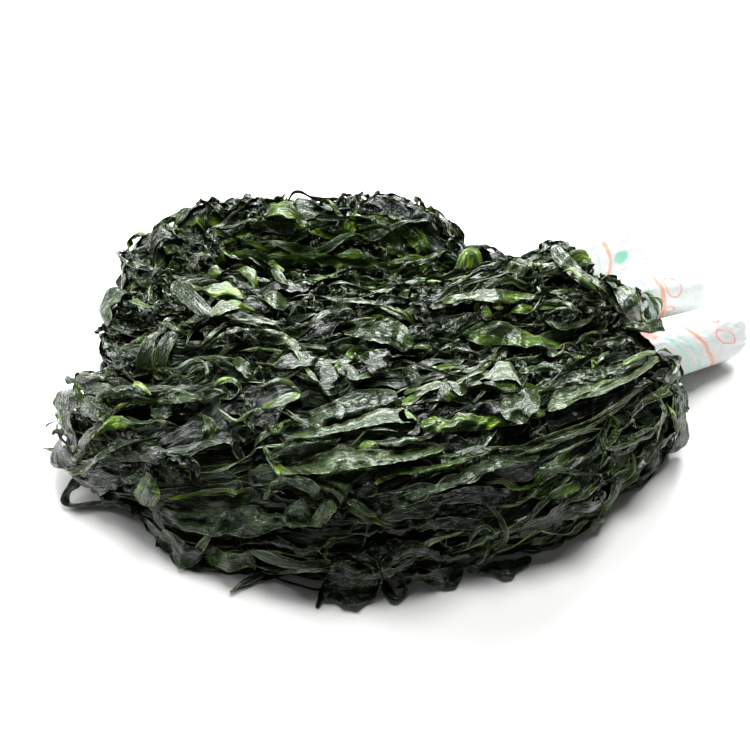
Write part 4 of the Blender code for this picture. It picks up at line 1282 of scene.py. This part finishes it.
def sight_line(px, py):
    """The photo camera's place, and the direction in which it sees a pixel, or each of some."""
    sine, cosine = math.sin(CAMERA_ELEVATION), math.cos(CAMERA_ELEVATION)
    origin = CAMERA_FOCUS + CAMERA_DISTANCE * np.array([0, -cosine, sine])
    ahead = np.array([0, cosine, -sine])
    right = np.array([1.0, 0, 0])
    upward = np.array([0, sine, cosine])
    across = (np.asarray(px, float)[..., None] - PHOTO_SIDE / 2) / FOCAL_PIXELS
    down = (np.asarray(py, float)[..., None] - PHOTO_SIDE / 2) / FOCAL_PIXELS
    return origin, unit(ahead + right * across - upward * down)


def lay_seen_leaf(hanks, leaves, kind_name, half, tone, thin, tilt, route, seed):
    """Lays a leaf where the photo shows it: route has the pixels along it and how far it is lifted."""
    struck = []
    for px, py, lift in route:
        origin, direction = sight_line(px, py)
        found = {name: hank.struck(origin, direction) for name, hank in hanks.items()}
        struck.append({name: (*hit, lift) for name, hit in found.items() if hit})
    nearest = [min(found, key=lambda name: found[name][0]) for found in struck if found]
    if not nearest:
        return
    name = max(sorted(set(nearest)), key=nearest.count)
    hank = hanks[name]
    marks = [found[name][1:] for found in struck if name in found]
    if len(marks) < 2:
        return
    line = np.array([(distance, share * hank.girth_at(distance), lift) for distance, share, lift in marks])
    line = even_spline(line, ROW_STEP, 2)
    share = line[:, 1] / hank.girth_at(line[:, 0])
    kind = KINDS[kind_name]
    lay_leaf(hank, leaves, kind, line[:, 0], share, half, tone, thin, seed, lift=line[:, 2], tilt=tilt)


def edges_of_strip(route, width):
    """Both edges of a strip along a route, narrower at its ends, in pixels."""
    middle = even_spline(route, 1.0, 2)
    along = unit(np.gradient(middle, axis=0))
    rows = np.arange(len(middle))
    ends = np.clip(np.minimum(rows, rows[::-1]) / TRACE_END, 0.25, 1)
    across = np.stack([along[:, 1], -along[:, 0]], axis=1) * 0.5 * width * ends[:, None]
    return middle + across, middle - across


def spread_evenly(edge, at):
    """The points of an edge at some shares of its length."""
    own = np.linspace(0, 1, len(edge))
    return np.stack([np.interp(at, own, edge[:, k]) for k in (0, 1)], axis=1)


def traced_grid(upper, lower, seed):
    """Pixels of a leaf between its upper and lower outline, in rows along it and columns across it."""
    if isinstance(lower, (int, float)):
        upper, lower = edges_of_strip(upper, lower)
    edges = [even_spline(edge, 1.0, 2) for edge in (upper, lower)]
    rows = max(6, round(max(len(edge) for edge in edges) / TRACE_ROW))
    at = np.linspace(0, 1, rows)
    edges = [spread_evenly(edge, at) for edge in edges]
    wide = np.linalg.norm(edges[1] - edges[0], axis=1)
    away = np.arange(rows) * TRACE_ROW
    round_end = np.ones(rows)
    for end, off in ((0, away), (-1, away[::-1])):
        radius = min(0.5 * wide[end], 0.25 * away[-1]) + 0.1
        round_end *= np.sqrt(np.clip(1 - np.clip(1 - off / radius, 0, 1) ** 2, 0.05, 1))
    middle = 0.5 * (edges[0] + edges[1])
    edges = [middle + (edge - middle) * round_end[:, None] for edge in edges]
    wide = wide * round_end
    columns = int(np.clip(round(wide.max() / TRACE_COLUMN), 3, MOST_COLUMNS)) + 1
    share = np.linspace(0, 1, columns)
    wave = TRACE_WAVE * noise(at * rows * TRACE_ROW / TRACE_WAVE_LENGTH, 0.0, seed)[:, None] * (1 - share)
    wave = wave + TRACE_WAVE * noise(at * rows * TRACE_ROW / TRACE_WAVE_LENGTH, 5.0, seed)[:, None] * share
    share = share + wave / np.maximum(wide, 6.0)[:, None]
    return edges[0][:, None] + (edges[1] - edges[0])[:, None] * share[..., None], wide


def eased(depths, row_step, column_step):
    """Depths brought nearer where they would change by more than the steps, and smoothed."""
    for step in (row_step, column_step):
        for grid in (depths, depths[::-1]):
            for i in range(1, len(grid)):
                grid[i] = np.minimum(grid[i], grid[i - 1] + step)
        depths = depths.T
    for _ in range(3):
        padded = np.pad(depths, 1, mode="edge")
        beside = padded[:-2, 1:-1], padded[2:, 1:-1], padded[1:-1, :-2], padded[1:-1, 2:]
        depths = sum(beside, 2 * padded[1:-1, 1:-1]) / 6
    return depths


def depths_seen(trees, origin, directions):
    """How far it is along each line of sight to the first thing there, or the floor."""
    start = Vector(origin)
    depths = (FLOOR - origin[2]) / directions[..., 2]
    for i, j in np.ndindex(depths.shape):
        ray = Vector(directions[i, j])
        for tree in trees:
            reach = tree.ray_cast(start, ray)[3]
            if reach is not None and reach < depths[i, j]:
                depths[i, j] = reach
    return depths


def traced_relief(run, flat, across, pleat, seed):
    """How far each point of a traced leaf stands out, in pleats, ridges and waves at its rims."""
    phase = 2 * math.pi * flat / TRACE_PLEAT + 2.2 * noise(run / 50.0, flat / 16.0, seed + 2)
    phase = phase + noise(run / 18.0, 0.0, seed)
    depth = pleat * np.clip(0.8 + 0.9 * noise(run / 35.0, flat / 12.0, seed + 3), 0.1, 1.5)
    relief = 0.6 * depth * np.tanh(1.8 * np.sin(phase))
    relief = relief + 0.55 * pleat * ridges(flat / 5.0 + run / 20.0, run / 11.0, seed + 1)
    relief = relief + 0.45 * pleat * ridges(flat / 3.0 - run / 12.0, run / 4.5, seed + 7)
    rim = np.clip((np.abs(across) - 0.4) / 0.6, 0, 1) ** 1.5
    wave = run * 2 * math.pi / TRACE_RUFFLE + 5.0 * noise(run / 20.0, np.sign(across), seed + 4)
    return relief + 1.4 * pleat * rim * np.sin(wave)


def lay_traced_leaf(grounds, leaves, tone, thin, lifts, lean, bow, pleat, upper, lower, seed):
    """Lays a leaf with an outline from the photo, in front of what is there on each line of sight."""
    pixels, wide = traced_grid(upper, lower, seed)
    rows, columns = pixels.shape[:2]
    origin, directions = sight_line(pixels[..., 0], pixels[..., 1])
    low, high = pixels.min(axis=(0, 1)), pixels.max(axis=(0, 1))
    trees = [tree for tree, least, most in grounds if (least < high).all() and (most > low).all()]
    depths = depths_seen(trees, origin, directions)
    depths = eased(depths, STEEPEST * TRACE_ROW, STEEPEST * wide.max() / columns)
    run = np.arange(rows)[:, None] * TRACE_ROW * PIXEL
    share = np.linspace(0, 1, columns)[None, :]
    flat = (share - 0.5) * wide[:, None] * PIXEL
    rise = spline(np.stack([np.linspace(0, 1, len(lifts)), lifts], axis=1), rows)[:, 1:]
    across = 2 * share - 1
    relief = traced_relief(run, flat, across, pleat, seed)
    narrow = np.clip(wide[:, None] * PIXEL / 4.0, 0.15, 1)
    out = TRACE_GAP + rise + relief * narrow - 0.5 * lean * across + bow * (1 - across**2)
    depths = np.maximum(depths - out, (TRACE_HIGHEST - origin[2]) / directions[..., 2])
    points = origin + directions * depths[..., None]
    points[..., 2] = np.maximum(points[..., 2], FLOOR)
    half = 0.5 * PIXEL * wide
    bump = min(TRACE_BUMP[0] + TRACE_BUMP[1] * pleat, 1.0)
    leaves.add_leaf(points, run[:, 0], half, tone, thin, bump, seed)
    sheet = leaves.sheets[-1]
    grounds.append((BVHTree.FromPolygons(sheet[0].tolist(), sheet[1].tolist()), low, high))


def lay_floor_leaf(leaves, kind_name, half, tone, thin, route, seed):
    """A leaf that lies out on the floor: route has the pixels along it and its height there."""
    marks = []
    for px, py, height in route:
        origin, direction = sight_line(px, py)
        marks.append(origin + direction * (height - origin[2]) / direction[2])
    path = even_spline(marks, ROW_STEP, 3)
    free_leaf(leaves, KINDS[kind_name], path, (0, 0, 1), half, tone, thin, 0.0, seed)


def add_root_strands(hank, leaves, wrap, rng, seed):
    """Stalks that come out of a wrap's mouth and spread over the start of its hank."""
    inner, _, axis, side, over = wrap_frame(*wrap)
    for k in range(ROOT_STRANDS):
        turn = 2 * math.pi * (k + rng.random()) / ROOT_STRANDS
        reach = (WRAP_RADIUS - 3.0) * rng.uniform(0.6, 1.0)
        spoke = side * math.cos(turn) + over * math.sin(turn)
        share = rng.uniform(0.08, 0.92)
        far = rng.uniform(*ROOT_REACH)
        ways = [inner - axis * 2 + spoke * reach * 0.9, inner - axis * 13 + spoke * reach]
        for part, lift in ((0.4, -1.0), (0.7, 0.8), (1.0, -2.0)):
            ways.append(hank.above(part * far + 12, share, lift))
        path = even_spline(ways, ROW_STEP, 3)
        gap = path - inner
        outward = unit(gap - (gap @ axis)[:, None] * axis)
        tone, thin = pick_tone(rng)
        thin = ROOT_PLAYED_DOWN * thin
        half = rng.uniform(*ROOT_HALF)
        strand_seed = seed + ROOT_SEED_STEP * k
        free_leaf(leaves, KINDS["strap"], path, outward, half, tone, thin, 0.0, strand_seed, root=0.3)


def add_core(hank, leaves, seed):
    """The dark mass under the fronds: the hank's surface, sunk, creased along its length and flat below."""
    run = hank.run[:, None]
    share = np.linspace(0, 1, ROUND_CELLS)[None, :]
    across = share * hank.girth[:, None]
    relief = CORE_RELIEF * ridges(run / 34.0, across / 7.0, seed)
    relief = relief + 0.8 * noise(run / 6.0, across / 3.0, seed + 1)
    rim = smooth(np.minimum(share, 1 - share) / 0.06)
    points = hank.points - hank.normals * (CORE_DEPTH - (relief + hank.relief) * rim)[..., None]
    points[..., 2] = np.maximum(points[..., 2], 0.1)
    points = clear_of_wraps(points)
    places = np.stack([np.broadcast_to(run, across.shape) / 10, across / 10 + seed], axis=-1)
    shades = np.tile([0.1, 0.0, 0.5, 1.0], (*points.shape[:2], 1))
    leaves.add(points, places, shades, closed=True)


def node_maker(tree):
    """Returns a function that adds a node, sets its plain inputs and links its linked ones."""

    def add(kind, inputs=None, **settings):
        made = tree.nodes.new(kind)
        for key, value in settings.items():
            setattr(made, key, value)
        for key, value in (inputs or {}).items():
            if isinstance(value, bpy.types.NodeSocket):
                tree.links.new(value, made.inputs[key])
            else:
                made.inputs[key].default_value = value
        return made

    return add


def new_material(name):
    """An empty material and the function that adds nodes to it."""
    made = bpy.data.materials.new(name)
    made.use_nodes = True
    made.node_tree.nodes.clear()
    return made, node_maker(made.node_tree)


def ramp(add, value, stops):
    """A colour ramp of (place, colour) stops."""
    made = add("ShaderNodeValToRGB", {"Fac": value})
    elements = made.color_ramp.elements
    elements[0].position, elements[0].color = stops[0][0], (*stops[0][1], 1)
    elements[1].position, elements[1].color = stops[-1][0], (*stops[-1][1], 1)
    for place, colour in stops[1:-1]:
        elements.new(place).color = (*colour, 1)
    return made.outputs["Color"]


def maths(add, operation, a, b=0.0):
    made = add("ShaderNodeMath", {0: a, 1: b}, operation=operation)
    return made.outputs[0]


def remap(add, value, low, high, to_low, to_high):
    """A value brought from one range to another, and kept in it."""
    made = add("ShaderNodeMapRange", {0: value, 1: low, 2: high, 3: to_low, 4: to_high})
    return made.outputs[0]


def texture(add, vector, scale, detail, roughness=0.5, distortion=0.0):
    inputs = {"Vector": vector, "Scale": scale, "Detail": detail}
    return add("ShaderNodeTexNoise", inputs | {"Roughness": roughness, "Distortion": distortion})


def cracks(add, vector, scale):
    """How far each place is from the edges of irregular cells."""
    made = add("ShaderNodeTexVoronoi", {"Vector": vector, "Scale": scale}, feature="DISTANCE_TO_EDGE")
    return made.outputs["Distance"]


def blend(add, factor, first, second):
    """One colour, or another where the factor is 1."""
    second = second if isinstance(second, bpy.types.NodeSocket) else (*second, 1.0)
    return add("ShaderNodeMix", {"Factor": factor, 6: first, 7: second}, data_type="RGBA").outputs[2]


def bumped(add, height, strength, distance, normal=None):
    inputs = {"Height": height, "Strength": strength, "Distance": distance}
    if normal is not None:
        inputs["Normal"] = normal
    return add("ShaderNodeBump", inputs).outputs[0]


def leaf_material(name):
    """Wet seaweed leaf: black green and creased, brighter where a single layer lets light through."""
    made, add = new_material(name)
    place = add("ShaderNodeUVMap", uv_map="along_leaf").outputs["UV"]
    shade = add("ShaderNodeAttribute", attribute_name="shade")
    parts = add("ShaderNodeSeparateXYZ", {0: shade.outputs["Vector"]})
    tone, thin, rim = parts.outputs[0], parts.outputs[1], parts.outputs[2]
    wrinkled = shade.outputs["Alpha"]
    along = add("ShaderNodeMapping", {0: place, "Scale": (0.55, 3.0, 1.0)}).outputs[0]
    even = add("ShaderNodeMapping", {0: place, "Scale": (1.0, 1.6, 1.0)}).outputs[0]
    long = add("ShaderNodeMapping", {0: place, "Scale": (0.42, 2.1, 1.0)}).outputs[0]
    drift = texture(add, even, 1.1, 2.0).outputs["Color"]
    bent = add("ShaderNodeVectorMath", {0: long, 1: drift}, operation="ADD").outputs[0]
    veins = texture(add, along, 1.6, 2.0, 0.55, 0.6).outputs["Fac"]
    blotch = texture(add, even, 0.9, 3.0, 0.55).outputs["Fac"]
    fine = texture(add, along, 3.6, 4.0, 0.6, 1.0).outputs["Fac"]
    creases, facets = cracks(add, bent, 1.7), cracks(add, bent, 3.6)
    mixed = maths(add, "ADD", maths(add, "MULTIPLY", tone, 0.43), maths(add, "MULTIPLY", blotch, 0.33))
    dark = ramp(add, mixed, (
        (0.12, (0.0030, 0.0042, 0.0030)),
        (0.28, (0.0075, 0.0115, 0.0065)),
        (0.45, (0.016, 0.027, 0.012)),
        (0.63, (0.030, 0.052, 0.016)),
        # Reached only by tones over 1: a painted sheen, pale grey green.
        (0.95, (0.105, 0.130, 0.075)),
    ))
    # Painted light shining through thin single layers: bright yellow green.
    light = ramp(add, veins, ((0.30, (0.050, 0.105, 0.009)), (0.70, (0.215, 0.380, 0.026))))
    body = blend(add, thin, dark, light)
    # Painted highlight along each rim, where a leaf's edge would catch the light.
    pale = blend(add, remap(add, rim, 0.70, 1.0, 0.0, 0.8), body, (0.18, 0.235, 0.10))
    # Painted shade in fine lines and at crease edges: the colour goes near black and the gloss drops there.
    off_line = maths(add, "ABSOLUTE", maths(add, "SUBTRACT", veins, 0.5))
    lines = remap(add, off_line, 0.0, 0.04, 0.0, 1.0)
    flat = maths(add, "MINIMUM", lines, remap(add, creases, 0.0, 0.06, 0.45, 1.0))
    crease_shade = maths(add, "MULTIPLY", maths(add, "SUBTRACT", 1.0, flat), 0.6)
    colour = blend(add, crease_shade, pale, (0.0016, 0.0022, 0.0014))
    # Gloss is lower where the crease shade is painted.
    wet_gloss_with_crease_shade = remap(add, flat, 0.0, 1.0, 0.10, 0.50)
    # Painted shade: leaves with a tone under 0 lose nearly all their gloss.
    painted_hollow_shade = remap(add, tone, -0.4, 0.0, 0.08, 1.0)
    sheer = remap(add, thin, 0.2, 1.0, 1.0, 0.45)
    gloss = maths(add, "MULTIPLY", maths(add, "MULTIPLY", wet_gloss_with_crease_shade, painted_hollow_shade), sheer)
    normal = None
    for height, strength, distance in (
        (creases, 0.75, 0.0019),
        (facets, 0.4, 0.0009),
        (flat, 1.0, 0.0009),
        (veins, 0.9, 0.0020),
    ):
        normal = bumped(add, height, maths(add, "MULTIPLY", wrinkled, strength), distance, normal)
    shader = add("ShaderNodeBsdfPrincipled", {
        "Base Color": colour,
        "Roughness": remap(add, blotch, 0.3, 0.7, 0.12, 0.28),
        "Normal": bumped(add, fine, 0.5, 0.0007, normal),
        "Specular IOR Level": gloss,
        "Specular Tint": (0.87, 1.0, 0.93, 1.0),
        "Coat Weight": 0.18,
        "Coat Roughness": 0.1,
    })
    add("ShaderNodeOutputMaterial", {"Surface": shader.outputs[0]})
    return made


def any_of(add, masks):
    """Where any of some masks is."""
    total = masks[0]
    for mask in masks[1:]:
        total = maths(add, "MAXIMUM", total, mask)
    return total


def bands(add, along, places):
    """How far a place is inside any of some bands along a wrap, in centimetres."""
    masks = []
    for middle, half in places:
        gap = maths(add, "ABSOLUTE", maths(add, "SUBTRACT", along, middle))
        masks.append(remap(add, gap, half, half + 0.04, 1.0, 0.0))
    return any_of(add, masks)


def rings(add, along, around, shapes):
    """How far a place is inside the line of any of some oval rings, in centimetres."""
    masks = []
    for middle, turn, reach, height, thick in shapes:
        a = maths(add, "DIVIDE", maths(add, "SUBTRACT", along, middle), reach)
        b = maths(add, "DIVIDE", maths(add, "SUBTRACT", around, turn), height)
        squares = maths(add, "ADD", maths(add, "MULTIPLY", a, a), maths(add, "MULTIPLY", b, b))
        gap = maths(add, "ABSOLUTE", maths(add, "SUBTRACT", maths(add, "SQRT", squares), 1.0))
        width = thick / min(reach, height)
        masks.append(remap(add, gap, 0.5 * width, width, 1.0, 0.0))
    return any_of(add, masks)


def film_material(name):
    """Thin white plastic film, creased, printed with plain bands and ovals."""
    made, add = new_material(name)
    place = add("ShaderNodeUVMap", uv_map="on_film").outputs["UV"]
    wobble = texture(add, place, 1.3, 2.0).outputs["Fac"]
    shift = maths(add, "MULTIPLY", maths(add, "SUBTRACT", wobble, 0.5), 0.35)
    parts = add("ShaderNodeSeparateXYZ", {0: place})
    along, around = maths(add, "ADD", parts.outputs[0], shift), maths(add, "ADD", parts.outputs[1], shift)
    cloud = texture(add, place, 0.9, 4.0, 0.6).outputs["Fac"]
    colour = ramp(add, cloud, ((0.3, (0.60, 0.65, 0.635)), (0.7, (0.73, 0.755, 0.745))))
    for mask, ink in (
        (bands(add, along, GREEN_BANDS), (0.44, 0.74, 0.62)),
        (rings(add, along, around, GREEN_SPOTS), (0.20, 0.58, 0.42)),
        (bands(add, along, RED_BANDS), (0.84, 0.38, 0.27)),
        (rings(add, along, around, RED_OVALS), (0.82, 0.36, 0.33)),
    ):
        colour = blend(add, mask, colour, ink)
    crinkle = texture(add, place, 2.4, 5.0, 0.6).outputs["Fac"]
    shader = add("ShaderNodeBsdfPrincipled", {
        "Base Color": colour,
        "Roughness": 0.42,
        "Normal": bumped(add, crinkle, 0.35, 0.0015),
        "Coat Weight": 0.1,
        "Coat Roughness": 0.2,
    })
    add("ShaderNodeOutputMaterial", {"Surface": shader.outputs[0]})
    return made


def wrap_piece(name, inner, outer, material, seed):
    """A film sleeve round the root ends: turned in at its mouth, creased, and gathered shut at its end."""
    inner, length, axis, side, over = wrap_frame(inner, outer)
    lip = np.linspace(WRAP_LIP, WRAP_MOUTH, WRAP_LIP_ROWS + 1)[:-1]
    body = np.linspace(WRAP_MOUTH, length, WRAP_ROWS)
    distance = np.concatenate([lip, body])[:, None]
    inside = (np.arange(len(distance)) < len(lip))[:, None]
    turn = np.linspace(-0.5 * math.pi, 1.5 * math.pi, WRAP_COLUMNS, endpoint=False)[None, :]
    past = np.clip((distance - (length - WRAP_END)) / WRAP_END, 0, 1)
    radius = WRAP_RADIUS * np.sqrt(np.clip(1 - 0.97 * past**2.6, 0, 1))
    radius = radius - 0.9 * inside - 0.5 * smooth((6 - distance) / 10)
    x, y = np.cos(turn), np.sin(turn)
    soft = 0.8 * noise(distance / 24.0, 2.1 * x, seed) * (0.5 + 0.5 * y)
    soft = soft + 0.7 * noise(2.3 * x, 2.3 * y, seed + 1)
    crease = ridges(distance / 17.0, 5.0 * x + 0.05 * distance, seed + 2)
    crease = crease + ridges(distance / 19.0, 5.0 * y, seed + 3)
    shift = 2.2 * noise(1.5 * x, 1.5 * y, seed + 4)
    gathers = np.abs(np.sin(0.5 * GATHERS * turn + shift + 0.02 * distance))
    near_end = smooth((distance - 0.62 * length) / (0.38 * length))
    near_mouth = smooth((WRAP_LIP - distance) / 12)
    bulge = soft * (1 - past) + CREASE_DEPTH * crease * (0.4 + near_end + near_mouth)
    bulge = bulge - GATHER_DEPTH * near_end * np.clip(radius / WRAP_RADIUS, 0.2, 1) * (1 - gathers)
    radius = np.maximum(radius + bulge * (1 - 0.5 * inside), 0.8)
    edge = MOUTH_UNEVEN * noise(2.6 * x, 2.6 * y, seed + 5) * near_mouth
    points = inner + (distance + edge)[..., None] * axis
    points = points + radius[..., None] * (x[..., None] * side + y[..., None] * over)
    tip = points[-1].mean(axis=0)
    pucker = [tip + (points[-1] - tip) * size - axis * depth for size, depth in WRAP_PUCKER]
    points = np.concatenate([points, pucker])
    distance = np.concatenate([distance, np.full((len(pucker), 1), length)])
    points[..., 2] = np.maximum(points[..., 2], 0.15)
    rows, columns = points.shape[:2]
    index = np.arange(rows * columns).reshape(rows, columns)
    beside = np.roll(index, -1, axis=1)
    faces = np.stack([index[:-1], beside[:-1], beside[1:], index[1:]], axis=-1).reshape(-1, 4)
    made = mesh_object(name + "_film", to_part(points.reshape(-1, 3)), faces, material)
    slant, shift = PRINT_SET[name]
    full = np.concatenate([turn, turn[:, :1] + 2 * math.pi], axis=1)
    around = np.broadcast_to(WRAP_RADIUS / 10 * (full - 0.5 * math.pi), (rows, columns + 1))
    apart = PRINT_APART * list(WRAPS).index(name)
    turns = np.stack([distance / 10 + slant * around + shift, around + apart], axis=-1)
    quads = np.stack([turns[:-1, :-1], turns[:-1, 1:], turns[1:, 1:], turns[1:, :-1]], axis=2)
    layer = made.data.uv_layers.new(name="on_film")
    layer.data.foreach_set("uv", quads.reshape(-1, 2).ravel())
    return made, (points.reshape(-1, 3), faces)


def plain_material(name, colour, roughness):
    """One colour all over."""
    made, add = new_material(name)
    shader = add("ShaderNodeBsdfPrincipled", {"Base Color": (*colour, 1), "Roughness": roughness})
    add("ShaderNodeOutputMaterial", {"Surface": shader.outputs[0]})
    return made


def add_light(name, where, size, watts):
    """A softbox in the part's frame that faces the heap."""
    data = bpy.data.lights.new(name, "AREA")
    data.shape = "RECTANGLE"
    data.size, data.size_y = size
    data.energy = watts
    made = bpy.data.objects.new(name, data)
    bpy.context.scene.collection.objects.link(made)
    made.location = where
    made.rotation_euler = (Vector(LIGHT_TARGET) - Vector(where)).to_track_quat("-Z", "Y").to_euler()


def make_camera():
    """The camera from which the photo was taken."""
    data = bpy.data.cameras.new("camera")
    data.sensor_width = SENSOR
    data.lens = SENSOR * FOCAL_PIXELS / PHOTO_SIDE
    made = bpy.data.objects.new("camera", data)
    bpy.context.scene.collection.objects.link(made)
    back = np.array([0.0, -math.cos(CAMERA_ELEVATION), math.sin(CAMERA_ELEVATION)])
    made.location = to_part(CAMERA_FOCUS + back * CAMERA_DISTANCE)
    made.rotation_euler = (math.pi / 2 - CAMERA_ELEVATION, 0, 0)
    bpy.context.scene.camera = made


def make_studio():
    """Plain pale floor and soft white light, most of it from above and behind."""
    corners = np.array([(-1, -1, 0), (1, -1, 0), (1, 1, 0), (-1, 1, 0)]) * FLOOR_SPAN
    face = np.array([[0, 1, 2, 3]])
    floor = mesh_object("floor", corners, face, plain_material("floor", FLOOR_COLOUR, FLOOR_ROUGHNESS))
    world = bpy.data.worlds.new("studio")
    bpy.context.scene.world = world
    world.use_nodes = True
    background = world.node_tree.nodes["Background"].inputs
    background["Color"].default_value = (1.0, 1.0, 1.0, 1.0)
    background["Strength"].default_value = WORLD_STRENGTH
    for name, light in LIGHTS.items():
        add_light(name, *light)


def hide_shared_places(hanks):
    """Marks the places of each hank that are inside another one, where nothing needs to be laid."""
    for hank in hanks.values():
        for other in hanks.values():
            if other is not hank:
                hank.shown &= ~other.holds(hank.points, HIDDEN_MARGIN)


def cover_hank(name, hank, fronds, number, rng):
    """Lays a hank's fronds, curls and threads. Returns the number of the next hank's first frond."""
    count, shares = FRONDS[name]
    for k in range(count):
        kind_name = rng.choices(LAID_KINDS, shares)[0]
        coarse = COARSE if k < COARSE_SHARE * count else 1.0
        loose = k > (1 - LOOSE_SHARE) * count
        seed = seed_of(FROND_SEEDS, number + k)
        lay_frond(hank, fronds, kind_name, rng, seed, coarse, loose, MESS[name], LONGEST[name], SHEER[name])
    for k in range(CURLS[name]):
        lay_curl(hank, fronds, rng, HANK_SEEDS[name] + seed_of(CURL_SEEDS, k))
    for k in range(THREADS[name]):
        lay_thread(hank, fronds, rng, HANK_SEEDS[name] + seed_of(THREAD_SEEDS, k))
    return number + count


def ground_of(sheets):
    """A search tree of some sheets, with the range of the photo's pixels that it is searched for."""
    points = np.vstack([sheet[0] for sheet in sheets])
    starts = np.cumsum([0] + [len(sheet[0]) for sheet in sheets[:-1]])
    faces = np.vstack([sheet[1] + first for sheet, first in zip(sheets, starts)])
    tree = BVHTree.FromPolygons(points.tolist(), faces.tolist())
    return tree, np.zeros(2), np.full(2, PHOTO_SIDE)


make_camera()
make_studio()
bpy.context.scene.view_settings.view_transform = "Standard"

hanks = {name: Hank(stations, TWIST[name]) for name, stations in HANKS.items()}
hide_shared_places(hanks)
seaweed, film = leaf_material("seaweed"), film_material("film")
rng = random.Random(SEED)
pieces = []
laid = []
number = 0
for name, hank in hanks.items():
    core, fronds = Leaves(), Leaves()
    add_core(hank, core, CORE_SEEDS[name])
    number = cover_hank(name, hank, fronds, number, rng)
    pieces += core.build("core_" + name, seaweed) + fronds.build("fronds_" + name, seaweed)
    laid.append(core.sheets + fronds.sheets)

seen = Leaves()
for k, leaf in enumerate(SEEN):
    lay_seen_leaf(hanks, seen, *leaf, seed_of(SEEN_SEEDS, k))
for k, leaf in enumerate(FLOOR_LEAVES):
    lay_floor_leaf(seen, *leaf, seed_of(FLOOR_SEEDS, k))
for name, wrap in WRAPS.items():
    add_root_strands(hanks[name.removeprefix("wrap_")], seen, wrap, rng, ROOT_SEEDS[name])
pieces += seen.build("seen_fronds", seaweed)
laid.append(seen.sheets)

for k, (name, ends) in enumerate(WRAPS.items()):
    piece, sheet = wrap_piece(name, *ends, film, seed_of(FILM_SEEDS, k))
    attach(piece, "root")
    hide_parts(name)
    laid.append([sheet])

grounds = [ground_of(sheets) for sheets in laid]
traced = Leaves()
for k, leaf in enumerate(TRACED):
    lay_traced_leaf(grounds, traced, *leaf, seed_of(TRACED_SEEDS, k))
pieces += traced.build("traced_fronds", seaweed)
for piece in pieces:
    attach(piece, "root")
    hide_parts("wakame")
